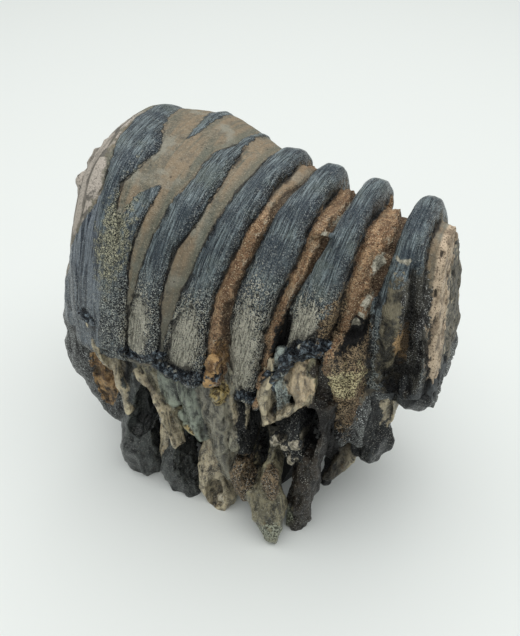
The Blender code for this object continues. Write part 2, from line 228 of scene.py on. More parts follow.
CROWN_ROOTS = {
    "heel flank": Root(2.0, 0.05, 0.2, DARK_GREY, (
        (0, -16, 38, 6, 14), (-1, -20, 22, 11.5, 18), (-1.5, -24, 4, 14, 17), (-1.5, -28, -10, 15, 14),
        (0, -30, -24, 15.5, 12), (4, -31, -37, 13, 10), (10, -32, -47, 9, 8), (13.5, -32, -53, 4.5, 5))),
    "strip column": Root(3.0, 0.1, 0.8, BROWN, (
        (98, -19, 26, 6, 11), (100, -22, 8, 6, 8), (103, -22, -8, 6, 7), (105, -21, -25, 5, 5))),
}
NEAR_ROOTS = {
    "first lobe": Root(2.2, 0.10, 0.0, DARK_GREY, (
        (22, -32, 0, 9, 8), (20, -35, -30, 7, 7), (17, -38, -48, 8.5, 8), (18, -41, -60, 8.5, 8),
        (20, -41, -71, 6, 6))),
    "bone flute": Root(2.0, 0.10, 0.3, BONE, (
        (30, -36, -34, 3, 4), (31.5, -39, -46, 3, 4), (32, -40, -56, 3.4, 4), (31, -40, -64, 2, 3))),
    "second lobe": Root(2.2, 0.16, 0.2, DARK_GREY, (
        (36, -32, 0, 8, 7), (37, -36, -40, 6, 6), (38, -41, -57, 8, 7), (40, -42, -71, 7.5, 5.5))),
    "hollow root": Root(2.1, 0.06, 0.3, BONE, (
        (52, -28, -2, 7, 6), (53, -34, -36, 6.5, 6.5), (53, -39, -52, 7, 7), (55, -41, -62, 7, 7),
        (56, -41, -71, 6.5, 6.5))),
    "smooth wedge": Root(1.7, 0.04, 0.1, (100, 98, 88), (
        (50, -34, 5, 12, 5), (53, -37, -8, 9, 6), (56, -39, -22, 6.5, 6), (59, -40, -36, 5, 5.5),
        (61, -41, -47, 4, 4.5), (62, -41, -52, 3, 3.5))),
    "middle facet": Root(1.5, 0.03, 0.0, GREY_GREEN, (
        (43, -35, 4, 7, 5), (45.5, -39, -9, 5.5, 5), (48, -41, -22, 4, 4.5), (50, -41, -33, 2.2, 3))),
    "first facet": Root(1.5, 0.03, 0.0, GREY_GREEN, (
        (35, -36, 3, 6, 5), (36.5, -40, -6, 4.5, 4.5), (38, -42, -16, 2.4, 3))),
    "first wedge": Root(1.5, 0.06, 0.1, OLIVE, (
        (27, -37, 4, 10, 5), (30, -38, -7, 8, 4.5), (34, -40, -19, 5, 4), (38, -41, -32, 3, 3))),
    "fin": Root(2.0, 0.05, 0.2, BONE, (
        (22, -37, -8, 3, 4), (26, -40, -14, 2, 4.5), (31.5, -42, -17, 1.8, 4.5), (36, -44, -23, 1.7, 4.5),
        (39, -45, -33, 1.7, 4), (40.5, -45, -39, 2.6, 3.2))),
    "slat": Root(3.0, 0.15, 0.2, BONE, (
        (12, -38, 0, 3, 4), (14, -40, -14, 1.7, 3.5), (17, -42, -28, 1.5, 3), (19, -42, -38, 0.9, 2.4))),
    "heel slat": Root(3.0, 0.15, 0.2, BONE, (
        (8.5, -44, 15, 1.5, 3), (10, -45, 8, 1.7, 3), (10.5, -44.5, 0, 1.5, 3), (12, -42, -10, 1.0, 2.5))),
    "round lobe": Root(2.0, 0.12, 1.0, BROWN, (
        (67.5, -41, -38, 3.4, 4), (69, -43.5, -42, 5.4, 5.4), (70, -44, -47, 5.6, 5.6),
        (71, -45, -52, 4, 4))),
    "long root": Root(1.8, 0.08, 0.2, OLIVE, (
        (75, -28, -26, 6, 5), (76, -36, -37, 6, 5.5), (77, -43, -44, 7.2, 6.2),
        (80, -47, -53, 7.2, 6), (83, -49, -62, 5.2, 4.8), (84.5, -50, -69, 2.6, 2.6))),
    "long root's bump": Root(2.0, 0.2, 1.0, BROWN, (
        (80.5, -45, -33, 3, 3.4), (82, -47, -37, 3.2, 3.6), (83.5, -48.5, -41, 2.4, 2.8))),
    "straight root": Root(2.6, 0.26, 0.4, DARK_BROWN, (
        (94, -28, 0, 7, 7), (92.5, -33, -14, 5.4, 6), (92, -35, -30, 4.8, 5.6), (91, -37, -50, 4.7, 5.4),
        (90, -38, -69, 4.6, 5.2))),
    # Its black tone is painted shade, standing for a deep cave
    "ragged lobe": Root(2.0, 0.3, 0.8, BLACK, (
        (82, -25, 16, 9, 6), (84, -28, -4, 9, 7), (86, -33, -17, 8, 6.5), (88, -35, -27, 6.5, 6),
        (88, -35, -34, 3, 3))),
    "crumbly slab": Root(2.4, 0.35, 0.6, (116, 124, 122), (
        (78, -29, 18, 3, 4), (79, -33, 8, 4, 4), (80, -34.5, 0, 3.4, 4), (80, -35, -8, 1.6, 3))),
    "pale chip": Root(2.6, 0.12, 0.1, CHIP, (
        (85, -31, 17, 2.6, 3), (85.5, -34, 11, 3.8, 3.4), (86.5, -35.5, 4, 3.6, 3.2),
        (87.5, -36, -1, 1.8, 2.4))),
    "olive slat": Root(3.0, 0.1, 0.1, OLIVE, (
        (89.2, -30, 20, 0.9, 3), (90.2, -31.5, 10, 1.1, 3), (91.4, -31.5, 0, 0.9, 2.6),
        (92, -31, -5, 0.6, 2))),
    "slanting ridge": Root(1.8, 0.1, 0.2, BONE, (
        (90, -34, 2, 1.4, 3), (85, -37, -3, 2.0, 3.2), (80, -39, -8, 2.2, 3), (76, -40, -12, 1.2, 2))),
    "grey stump": Root(1.8, 0.08, 0.2, BONE, (
        (75, -30, 12, 4, 5), (75.5, -35, 3, 3.6, 4.5), (75.5, -37, -7, 2.8, 4), (75, -38, -16, 1.6, 2.6))),
    "third plate foot": Root(3.0, 0.15, 0.5, BLACK, (
        (66, -30, 4, 8, 7), (66, -31, -12, 6.5, 6), (65, -34, -26, 5.5, 5), (66, -37, -36, 3.5, 4))),
    "foot slat": Root(3.0, 0.15, 0.2, BONE, (
        (62, -33, 2, 1.6, 4), (62, -36, -9, 1.4, 3.5), (63, -37, -19, 0.9, 2.4))),
    "second foot slat": Root(3.0, 0.15, 0.2, BONE, (
        (66.5, -33, 0, 1.3, 4), (67, -36, -9, 1.1, 3.4), (68, -37, -20, 0.8, 2.2))),
    "end lobe": Root(2.0, 0.22, 0.3, BLACK, (
        (106, -12, 0, 9, 10), (108, -16, -14, 9, 8), (110, -19, -25, 8.5, 7), (110, -21, -32, 6, 5))),
    "end slat": Root(3.0, 0.2, 0.2, BONE, (
        (112, -12, 8, 2.4, 7), (113.5, -17, -8, 1.4, 5), (113.5, -18, -20, 0.9, 3))),
    "second end slat": Root(3.0, 0.2, 0.2, BONE, (
        (115.5, -12, 6, 2.0, 7), (116.5, -16, -6, 1.3, 5), (116.5, -17, -14, 0.8, 3))),
    "end knob": Root(2.0, 0.12, 0.1, BLACK, (
        (117, -12, 10, 5, 6), (119, -16, 4, 6.2, 6), (122, -16, 1, 6.2, 5), (124, -13, 3, 4, 4))),
    "dark panel": Root(3.0, 0.24, 0.3, DARK_BROWN, (
        (92, -23, 24, 6, 7), (94, -25, 8, 6.5, 6.5), (96, -24, -6, 5.5, 5), (96, -21, -24, 5, 4),
        (96, -21, -40, 4.5, 4))),
    "thin sheet": Root(3.0, 0.2, 0.3, DARK_GREY, (
        (103, -15, -24, 4, 1.6), (99, -21, -42, 5, 1.4), (95, -24, -58, 3.4, 1.2))),
    "second sheet": Root(3.0, 0.2, 0.3, BONE, (
        (106, -18, -26, 3, 1.2), (102, -24, -38, 3.2, 1.0), (97, -28, -50, 2, 0.9))),
}
FAR_ROOTS = {
    "heel stump": Root(2.0, 0.12, 0.4, BROWN, (
        (4, 22, 10, 9, 15), (5, 26, -20, 9, 11), (9, 28, -42, 7, 8), (13, 29, -54, 4, 5))),
    "first stump": Root(2.0, 0.12, 0.4, OLIVE, (
        (22, 30, 6, 10, 10), (22, 34, -25, 8, 8), (24, 36, -50, 7.5, 8), (25, 36, -71, 6.5, 7))),
    "second stump": Root(2.0, 0.12, 0.4, DARK_GREY, (
        (41, 29, 4, 9, 9), (42, 32, -24, 8, 7.5), (42, 34, -48, 7, 6.5), (42, 34, -61, 4, 4))),
    "third stump": Root(2.0, 0.12, 0.4, OLIVE, (
        (58, 24, 4, 9, 9), (59, 28, -28, 7.5, 7.5), (60, 31, -52, 7, 7), (60, 32, -71, 6, 6))),
    "fourth stump": Root(2.0, 0.12, 0.4, DARK_GREY, (
        (76, 20, 4, 9, 9), (76, 24, -22, 8, 7), (76, 27, -46, 7, 7), (76, 28, -61, 5, 5))),
    "fifth stump": Root(2.0, 0.12, 0.4, BROWN, (
        (93, 17, 4, 9, 9), (92, 21, -26, 8, 7.5), (91, 24, -50, 7, 7), (90, 26, -71, 6, 6))),
    "sixth stump": Root(2.0, 0.12, 0.4, DARK_GREY, (
        (109, 13, 6, 9, 10), (109, 16, -14, 8, 8), (109, 18, -32, 5.5, 6), (108, 18, -41, 3, 3))),
}
MIDDLE_ROOTS = {
    "first core": Root(2.0, 0.1, 0.4, DARK_GREY, (
        (18, -2, 6, 20, 32), (21, -3, -22, 16, 28), (24, -7, -44, 14, 27), (27, -9, -56, 13, 24))),
    "second core": Root(2.0, 0.1, 0.4, DARK_GREY, (
        (42, -2, 4, 20, 32), (43, -4, -26, 17, 28), (44, -7, -44, 15, 27), (45, -9, -56, 13, 24))),
    "third core": Root(2.0, 0.1, 0.4, DARK_GREY, (
        (66, -3, 4, 20, 28), (67, -5, -26, 16, 25), (68, -8, -45, 14, 24), (69, -11, -56, 13, 22))),
    "fourth core": Root(2.0, 0.1, 0.4, DARK_GREY, (
        (90, -2, 4, 18, 23), (90, -3, -22, 14, 20), (90, -7, -41, 12, 19), (89, -10, -56, 10, 16))),
    # Painted shade: the two plugs are black masses set in gaps between the roots that are only in shade
    "near shadow plug": Root(2.0, 0.1, 0.4, BLACK, (
        (86, -26, -34, 7, 8), (86, -33, -52, 6.5, 7), (86, -35, -67, 5.5, 5.5))),
    "middle shadow plug": Root(2.0, 0.1, 0.4, BLACK, (
        (67, -27, -34, 9, 8), (66, -35, -54, 8.5, 7), (66, -38, -68, 7, 6))),
    "end core": Root(2.0, 0.1, 0.4, DARK_GREY, (
        (108, 0, 8, 14, 20), (108, -1, -10, 11, 17), (108, -1, -24, 7, 12))),
}

# Thick glassy rims along the lower edge of the enamel: a path of (x, y, z, half height, half depth)
RIMS = {
    "first rim": (
        (17, -43, 8, 2.0, 2.2), (22, -44, 5, 2.6, 2.6), (29, -44, 5, 2.4, 2.4), (36, -44, 8, 2.0, 2.0)),
    "second rim": (
        (34, -43, 2, 2.2, 2.2), (41, -43, 0.5, 2.8, 2.8), (49, -42, 0.5, 3.2, 3.0), (55.5, -41, 4, 3.0, 2.8)),
    "third rim": ((62, -38, -6, 1.2, 2.0), (66, -38.5, -4, 1.4, 2.4), (71, -37.5, -5, 1.2, 2.0)),
    "fourth rim": (
        (75.5, -36, 0, 2.2, 2.6), (77.5, -36, 9, 3.0, 3.0), (81, -35, 17, 3.2, 3.2),
        (86, -34.5, 22.5, 3.4, 3.4), (90.5, -33.5, 25, 3.2, 3.4), (94.5, -31.5, 23, 3.0, 3.2),
        (97, -30, 16, 2.0, 2.4)),
    "heel knob rim": ((5.5, -45, 18, 1.6, 1.6), (7.8, -45.6, 17.6, 2.6, 2.2), (10.5, -46, 16.5, 1.6, 1.6)),
}

# Small lumps, as (x, y, z, half sizes along X, Y and Z)
CROWN_LUMPS = {
    "strip pebble": (86.4, -20.4, 60.6, 1.8, 1.6, 1.2),
    "pale pebble": (104.0, -15.5, 53.4, 2.6, 2.2, 3.4),
    "upper pebble": (104.9, -12.5, 58.4, 1.6, 1.6, 1.6),
    "low pebble": (103.2, -22, 41.2, 1.8, 1.8, 3.2),
    "lower pebble": (102.6, -21.6, 37.6, 2.4, 2.0, 2.4),
    "lowest pebble": (101.0, -22.4, 33.6, 1.9, 1.8, 2.0),
    "hollow's wall": (111.0, -20.5, 34, 3.8, 4.8, 21.0),
    "hollow's dark blob": (119.5, -20, 33, 2.2, 2.6, 4.5),
    "heel knob": (-13, -28, 2, 2.4, 3.4, 5.0),
    "heel bump": (5.8, -11, 66.4, 4.8, 6.5, 4.6),
    "second heel bump": (1.8, -16, 61.0, 4.8, 6.5, 6.0),
    "third heel bump": (0.0, -22, 55.0, 4.0, 6.0, 7.0),
    "eye": (57, -41.5, 10, 2.6, 2.0, 3.0),
}
ROOT_LUMPS = {
    "gold nodule": (58, -42, -5, 3.0, 3.0, 4.4),
    "first olive nodule": (46, -43, -28, 3.4, 2.6, 2.4),
    "dark crumbs": (42, -42, -23, 3.2, 2.4, 2.4),
    "second crumbs": (45, -42, -18, 2.0, 2.0, 3.0),
    "small crystal": (59.5, -41, -15, 1.6, 1.8, 2.6),
    "second small crystal": (61, -41, -20, 1.4, 1.6, 2.4),
    "brown nodule": (64, -40, -27, 3.2, 3.4, 4.0),
    "crystal cluster": (84, -41, -20, 2.2, 2.2, 2.4),
    "second cluster": (88, -40, -18, 2.6, 2.2, 2.6),
    "third cluster": (80, -40, -20, 2.2, 2.2, 3.0),
    "fourth cluster": (87, -41, -27, 2.0, 2.0, 3.0),
    "mouth crystals": (58, -45, -64, 2.2, 2.0, 2.4),
}

# Hollows, as a path of (x, y, z, half width, half depth)
CROWN_HOLLOWS = {
    "last plate": (
        (114.5, -22, 57, 2.6, 6), (116, -25, 46, 6.6, 8), (117.2, -27.5, 24, 8, 9.5),
        (116.5, -28, 9, 6.5, 9)),
    "fourth plate": (
        (89, -34, 23, 5.4, 7), (90, -35, 12, 7.4, 10), (89, -37, 0, 7.2, 12), (87, -39, -8, 6, 12)),
}
ROOT_HOLLOWS = {
    "root mouth": ((57, -50, -55, 3, 6), (56, -50, -61, 4, 8), (56.5, -50, -66, 4, 7)),
    "left cave": ((24, -44, -22, 4, 14), (23, -46, -33, 6, 16), (20, -46, -42, 4.5, 12)),
    "middle cave": ((41, -46, -42, 3.6, 14), (43, -46, -50, 5, 16), (44, -46, -58, 3.6, 12)),
    "foot cave": ((70.5, -42, -13, 3.0, 12), (70.5, -42, -20, 3.2, 12), (71, -42, -27, 2.6, 10)),
    "foot box": ((64.5, -42, -9, 2.0, 8), (65, -42, -15, 2.2, 8)),
    "deep gap": ((72, -42, -28, 3, 16), (73, -42, -36, 3.6, 18), (73, -42, -42, 3, 14)),
    "panel cave": ((91, -34, -6, 3, 13), (92, -34, -14, 3.4, 13), (92, -34, -22, 2.6, 12)),
    "slab gap": ((77.6, -41, 12, 0.9, 7), (77.8, -42, 0, 1.1, 8), (78, -43, -8, 1.4, 8)),
}
HOLLOW_REACH = 4.0

# Local tints on the near side of the crown, as (station, z, half width, half height)
CROWN_PATCHES = {
    "worn": ((31.5, 17, 6.0, 17), (52, 14, 7.0, 19), (71, 12, 6.0, 28), (88, 29, 5.6, 12)),
    "rust": ((95.6, 32, 2.8, 11), (102.6, 8, 4.6, 26)),
    # Painted shade: near-black gaps, also pushed in, at the strips' lower ends
    "shaded_gap": ((102.6, 30, 2.4, 6), (81.6, 20, 2.0, 13)),
    "dark": ((118.5, 5, 7.5, 7),),
    "gold": ((102.4, 11, 4.4, 7),),
    "glitter": ((17, 48, 6, 16),),
    "orange": ((10, -20, 8, 19), (64, 4, 2.6, 12)),
    "pale": (
        (103.8, 53.4, 1.9, 3.0), (103.8, 41.2, 1.3, 2.2), (103.2, 37.0, 1.5, 1.7), (101.8, 32.8, 1.4, 1.6),
        (84.6, 60.6, 1.2, 0.9), (112.6, 56, 3.4, 0.9)),
    "wall": ((112.0, 30, 2.6, 21),),
    "chip": ((115, 25, 1.3, 8),),
    "hollow": ((115.2, 30, 7.4, 27),),
}

# Kinds of tint with squarer corners
BOXY = ("shaded_gap", "wall", "hollow")

# Local tints on the roots, as (x, z, half width, half height)
ROOT_PATCHES = {
    "gold": ((58, -5, 3.4, 4.6), (46, -28, 3.2, 2.6)),
    "pale": (
        (84, -20, 2.2, 2.2), (88, -18, 2.4, 2.4), (80, -20, 2.0, 2.4), (87, -27, 2.0, 2.6),
        (58, -64, 2.4, 3)),
    "green": ((84, -64, 5, 8),),
}


def smooth_step(low, high, value):
    """0 below low, 1 above high, and smooth between them."""
    share = np.clip((value - low) / (high - low), 0.0, 1.0)
    return share * share * (3.0 - 2.0 * share)


def band(value, centre, half_width):
    """1 at the centre and 0 from half_width away."""
    return smooth_step(half_width, 0.0, np.abs(value - centre))


def scattered(cell, seed):
    """A random value from -1 to 1 for each cell of a lattice."""
    code = seed * SEED_FACTOR
    for axis, factor in enumerate(CELL_FACTORS):
        code = code ^ (cell[:, axis] * factor)
    for places_down, factor in SCATTER_STEPS:
        code = (code ^ (code >> places_down)) * factor & LOW_BITS
    return code / HALF_RANGE - 1.0


def lattice_noise(points, size, seed=0):
    """Smooth random values from -1 to 1 that vary over about size mm (one size, or one per axis)."""
    scaled = np.asarray(points) / np.asarray(size)
    cell = np.floor(scaled).astype(np.int64)
    inside = scaled - cell
    inside = inside * inside * (3.0 - 2.0 * inside)
    total = np.zeros(len(scaled))
    for corner in itertools.product((0, 1), repeat=3):
        weight = np.prod(np.where(corner, inside, 1.0 - inside), axis=1)
        total += weight * scattered(cell + corner, seed)
    return total


def fractal_noise(points, size, octaves=3, seed=0):
    total = np.zeros(len(points))
    strength = 1.0
    for octave in range(octaves):
        total += strength * lattice_noise(points, np.asarray(size) / 2 ** octave, seed + octave)
        strength *= 0.5
    return total


def broken_facets(points, size, seed):
    """Dished facets of about size mm with sharp edges between them, from 0 in the middle to about 1,
    and how far from such an edge each point is."""
    scaled = np.asarray(points) / np.asarray(size)
    cell = np.floor(scaled).astype(np.int64)
    nearest = np.full(len(scaled), np.inf)
    second = np.full(len(scaled), np.inf)
    for corner in itertools.product((-1, 0, 1), repeat=3):
        at = cell + corner
        shift = np.stack([scattered(at, seed + axis) for axis in range(3)], axis=-1)
        distance = ((scaled - at - 0.5 - 0.42 * shift) ** 2).sum(axis=1)
        second = np.minimum(second, np.maximum(distance, nearest))
        nearest = np.minimum(nearest, distance)
    return nearest, second - nearest


def near_half_width(x):
    return NEAR_HALF_WIDTH - NEAR_NARROWING * (x / REFERENCE_LENGTH) ** 2


def crown_height(x):
    return CROWN_HEIGHT - CROWN_HEIGHT_LOSS * x / REFERENCE_LENGTH


def heel_scale(x):
    past = np.clip((HEEL_START - x) / HEEL_LENGTH, 0.0, 1.0)
    return (1.0 - past ** HEEL_SQUARENESS) ** (1.0 / HEEL_SQUARENESS)


def arch_sizes(x, near):
    half = np.where(near, near_half_width(x), np.interp(x, FAR_STATIONS, FAR_HALF_WIDTHS))
    squareness = np.where(near, NEAR_SQUARENESS, np.interp(x, FAR_STATIONS, FAR_SQUARENESSES))
    return half, squareness


def arch(x, angle, offset):
    """Points on the crown's arch, offset mm outside it; angle runs from the near foot over the top."""
    x, angle, offset = np.broadcast_arrays(np.asarray(x, float), angle, offset)
    cosine = np.cos(angle)
    sine = np.clip(np.sin(angle), 0.0, 1.0)
    half, squareness = arch_sizes(x, cosine > 0.0)
    power = 2.0 / squareness
    scale = heel_scale(x)
    side = -np.sign(cosine)
    y = side * np.abs(cosine) ** power * half * scale
    z = sine ** power * crown_height(x) * scale
    out_y = side * np.abs(cosine) ** (2.0 - power) / half
    out_z = sine ** (2.0 - power) / crown_height(x)
    length = np.sqrt(out_y ** 2 + out_z ** 2)
    return np.stack((x, y + offset * out_y / length, z + offset * out_z / length), axis=-1)


def leaned(points):
    """Move points as the plates lean and skew at their station."""
    x, y, z = np.moveaxis(points, -1, 0)
    lean = np.interp(x, LEAN_STATIONS, LEANS)
    skew = np.interp(x, LEAN_STATIONS, SKEWS)
    return np.stack((x + lean * (z - LEAN_CENTRE) + skew * y, y, z), axis=-1)


def station_of(points):
    """The station of points: their x before the lean and skew."""
    x, y, z = points.T
    station = x
    for _ in range(8):
        lean = np.interp(station, LEAN_STATIONS, LEANS)
        skew = np.interp(station, LEAN_STATIONS, SKEWS)
        station = x - lean * (z - LEAN_CENTRE) - skew * y
    return station


def along_of(y, z):
    """Length along a plate, from its near lower end over the top."""
    return np.where(z > 0.0, np.arctan2(z, -y) * ARCH_RADIUS, z)


def plate_edges(number, along):
    """Left and right edge of a plate at lengths along it, a little ragged."""
    lengths, left, right = np.array(PLATES[number].edges, float).T
    sides = []
    for side, stations in enumerate((left, right)):
        at_plate = np.full_like(along, 10.0 * number)
        at_side = np.full_like(along, 10.0 * side)
        line = np.stack((at_plate, at_side, along), axis=-1)
        ragged = 0.5 * lattice_noise(line, 7.0, 61) + 0.3 * lattice_noise(line, 2.6, 62)
        sides.append(np.interp(along, lengths, stations) + ragged)
    return sides


def joined(rings):
    """Vertices and faces of a closed skin through rings of points, with flat ends."""
    rings = np.asarray(rings)
    rows, count = rings.shape[:2]
    faces = []
    for row in range(rows - 1):
        for i in range(count):
            j = (i + 1) % count
            faces.append((row * count + i, row * count + j, (row + 1) * count + j, (row + 1) * count + i))
    faces.append(tuple(reversed(range(count))))
    faces.append(tuple(range((rows - 1) * count, rows * count)))
    return rings.reshape(-1, 3), faces


def cement_skin():
    """The body of the crown between the plates."""
    tip = HEEL_START - HEEL_LENGTH + HEEL_CAP
    stations = np.concatenate((np.linspace(tip, HEEL_START, 16, endpoint=False),
                               np.linspace(HEEL_START, BROKEN_END, 110)))
    angles = np.linspace(0.0, math.pi, 110)
    rings = []
    for x in stations:
        depth = np.interp(x, CEMENT_STATIONS, CEMENT_DEPTHS) * heel_scale(x)
        ring = arch(x, angles, -depth * np.interp(angles, DEPTH_ANGLES, DEPTH_SHARES))
        floor = [(x, ring[-1, 1] * 0.9, -4.0), (x, ring[0, 1] * 0.9, -4.0)]
        rings.append(leaned(np.vstack((ring, floor))))
    return joined(rings)


def plate_skin(number):
    """One enamel plate, from its near lower end over the top to its far lower end."""
    plate = PLATES[number]
    crest_depth = 5.0
    inner = -10.0
    roundness = 0.8
    turn = np.linspace(math.pi, 0.0, 25)
    across = np.sign(np.cos(turn)) * np.abs(np.cos(turn)) ** roundness
    across = np.concatenate(((-1.0,), across, (1.0,)))
    crest = crest_depth * np.clip(np.sin(turn), 0.0, 1.0) ** roundness - crest_depth
    middle = np.mean(np.array(plate.edges[-1][1:], float))
    stops = []
    if plate.near_end < 0.0:
        stops += [(0.0, z) for z in np.linspace(plate.near_end, -0.8, 8)]
    for angle in np.linspace(0.0, math.pi, 240):
        height = arch(middle, angle, 0.0)[2]
        end = max(plate.near_end, 0.0) if angle < math.pi / 2 else plate.far_end
        if height >= end:
            stops.append((angle, 0.0))
    skin = []
    for angle, drop in stops:
        _, y, z = arch(middle, angle, 0.0)
        along = along_of(y, z + drop)
        left, right = plate_edges(number, np.array((along,)))
        centre = 0.5 * (left + right)
        half_width = np.maximum(0.5 * (right - left), 0.1)
        proud = np.interp(along, PROUD_STOPS, plate.proud)
        out = np.concatenate(((inner,), proud + crest, (inner,)))
        ring = arch(centre, angle, out)
        ring[:, 0] += across * half_width
        ring[:, 2] += drop
        skin.append(leaned(ring))
    return joined(skin)


def smooth_path(knots, steps):
    """Points on a smooth curve through the knots, each with its two half sizes."""
    knots = np.array(knots, dtype=float)
    padded = np.vstack((2 * knots[0] - knots[1], knots, 2 * knots[-1] - knots[-2]))
    points = []
    for i in range(1, len(padded) - 2):
        before, start, end, after = padded[i - 1:i + 3]
        for t in np.linspace(0.0, 1.0, steps, endpoint=False):
            points.append(0.5 * (2 * start + (end - before) * t
                                 + (2 * before - 5 * start + 4 * end - after) * t ** 2
                                 + (3 * start - before - 3 * end + after) * t ** 3))
    points.append(padded[-2])
    return np.array(points)


def sweep_skin(knots, squareness, flutes, seed, flat_axis, both_round=False):
    """A tube swept along a path, fluted lengthwise, with a rounded last end."""
    path = smooth_path(knots, 10)
    centres = path[:, :3]
    tangents = np.gradient(centres, axis=0)
    tangents /= np.linalg.norm(tangents, axis=1)[:, None]
    across = np.array(flat_axis) - tangents * (tangents @ np.array(flat_axis))[:, None]
    across /= np.linalg.norm(across, axis=1)[:, None]
    deep = np.cross(tangents, across)
    turn = np.linspace(0.0, 2.0 * math.pi, 40, endpoint=False)
    power = 2.0 / squareness
    wide = np.sign(np.cos(turn)) * np.abs(np.cos(turn)) ** power
    high = np.sign(np.sin(turn)) * np.abs(np.sin(turn)) ** power
    lengths = np.concatenate(((0.0,), np.cumsum(np.linalg.norm(np.diff(centres, axis=0), axis=1))))
    end = ((1.0, 0.0), (0.93, 0.28), (0.78, 0.5), (0.55, 0.64), (0.25, 0.72))
    start = tuple((size, -past) for size, past in reversed(end)) if both_round else end[:1]
    last = len(path) - 1
    rings = []
    for i, row in enumerate(path):
        for size, past in end if i == last else start if i == 0 else end[:1]:
            centre = centres[i] + tangents[i] * past * min(row[3], row[4])
            spokes = np.outer(wide, across[i]) * row[3] + np.outer(high, deep[i]) * row[4]
            flow = np.stack((np.cos(turn), np.sin(turn), np.full_like(turn, lengths[i] / 14.0)), axis=-1)
            swell = 1.0 + flutes * fractal_noise(flow * 2.0, 1.0, 2, seed)
            swell += 0.10 * lattice_noise(centre + spokes * size, 6.0, 3)
            rings.append(centre + spokes * size * swell[:, None])
    return joined(rings)


def root_skin(root, seed):
    return sweep_skin(root.knots, root.squareness, root.flutes, seed, (1.0, 0.0, 0.0))


def rim_skin(knots, seed):
    return sweep_skin(knots, 2.0, 0.35, seed, (0.15, 0.0, 1.0), both_round=True)


def lump_skin(lump, seed):
    """A small uneven ellipsoid."""
    x, y, z, half_x, half_y, half_z = lump
    turn = np.linspace(0.0, 2.0 * math.pi, 20, endpoint=False)
    rings = []
    for tilt in np.linspace(0.12, math.pi - 0.12, 14):
        ring = np.stack((np.cos(turn) * math.sin(tilt) * half_x, np.sin(turn) * math.sin(tilt) * half_y,
                         np.full_like(turn, math.cos(tilt) * half_z)), axis=-1)
        ring *= 1.0 + 0.22 * lattice_noise(ring, 2.2, seed)[:, None]
        rings.append(ring + (x, y, z))
    return joined(rings)


def merged(skins):
    vertices = []
    faces = []
    start = 0
    for points, polygons in skins:
        vertices.append(points)
        faces.extend(tuple(start + i for i in polygon) for polygon in polygons)
        start += len(points)
    return np.vstack(vertices), faces


def mesh_object(name, vertices, faces):
    mesh = bpy.data.meshes.new(name)
    mesh.from_pydata(vertices.tolist(), [], faces)
    thing = bpy.data.objects.new(name, mesh)
    bpy.context.scene.collection.objects.link(thing)
    return thing


def settled(thing):
    """Replace an object's mesh by what its modifiers make of it."""
    bpy.context.view_layer.update()
    graph = bpy.context.evaluated_depsgraph_get()
    mesh = bpy.data.meshes.new_from_object(thing.evaluated_get(graph))
    old = thing.data
    thing.modifiers.clear()
    thing.data = mesh
    bpy.data.meshes.remove(old)


def fuse(thing, voxel):
    """One even skin around everything."""
    modifier = thing.modifiers.new("fuse", "REMESH")
    modifier.mode = "VOXEL"
    modifier.voxel_size = voxel * COARSE


def places(mesh):
    values = np.empty(len(mesh.vertices) * 3)
    mesh.vertices.foreach_get("co", values)
    return values.reshape(-1, 3)


def set_places(mesh, points):
    mesh.vertices.foreach_set("co", points.ravel())
    mesh.update()


def directions(mesh):
    values = np.empty(len(mesh.vertices) * 3)
    mesh.vertex_normals.foreach_get("vector", values)
    return values.reshape(-1, 3)


def hollowed(points, hollows):
    """Push the surface back, away from the near side, to behind each hollow."""
    points = points.copy()
    ragged = 1.0 + 0.3 * fractal_noise(points, (2.6, 60.0, 2.6), 2, 71)
    for knots in hollows.values():
        front = np.full(len(points), np.inf)
        back = np.full(len(points), -np.inf)
        for x, y, z, half_x, half_y in smooth_path(knots, 14):
            tall = min(half_x, HOLLOW_REACH)
            spare = 1.0 - ragged * (((points[:, 0] - x) / half_x) ** 2 + ((points[:, 2] - z) / tall) ** 2)
            reach = half_y * np.sqrt(np.maximum(spare, 0.0))
            hit = spare > 0.0
            front = np.where(hit, np.minimum(front, y - reach), front)
            back = np.where(hit, np.maximum(back, y + reach), back)
        inside = (points[:, 1] > front) & (points[:, 1] < back)
        points[inside, 1] = back[inside]
    return points


def relaxed(points, edges, rounds):
    """Points after averaging each with its neighbours."""
    first, second = edges.T
    count = len(points)
    share = np.bincount(first, minlength=count) + np.bincount(second, minlength=count)
    for _ in range(rounds):
        total = np.empty_like(points)
        for axis in range(3):
            values = points[:, axis]
            total[:, axis] = (np.bincount(first, values[second], count)
                              + np.bincount(second, values[first], count))
        points = 0.5 * points + 0.5 * total / share[:, None]
    return points


def mesh_edges(mesh):
    values = np.empty(len(mesh.edges) * 2, dtype=np.int32)
    mesh.edges.foreach_get("vertices", values)
    return values.reshape(-1, 2)


def patch_fields(patches, x, points):
    """For each kind of tint, the distance in mm to the border of its patches, positive inside."""
    fields = {}
    near = points[:, 1] < 0.0
    for kind, rows in patches.items():
        power = 4.0 if kind in BOXY else 2.0
        field = np.full(len(points), OUTSIDE)
        for centre_x, centre_z, half_x, half_z in rows:
            across = np.abs(x - centre_x) / half_x
            up = np.abs(points[:, 2] - centre_z) / half_z
            inside = 1.0 - (across ** power + up ** power) ** (1.0 / power)
            field = np.maximum(field, inside * min(half_x, half_z))
        fields[kind] = np.where(near, field, OUTSIDE)
    return fields


def rim_field(points):
    """Distance in mm to the border of the glassy rims, positive inside."""
    field = np.full(len(points), OUTSIDE)
    for knots in RIMS.values():
        for x, y, z, tall, deep in smooth_path(knots, 6):
            distance = np.sqrt(((points - (x, y, z)) ** 2).sum(axis=1))
            field = np.maximum(field, max(tall, deep) + 0.5 - distance)
    return field


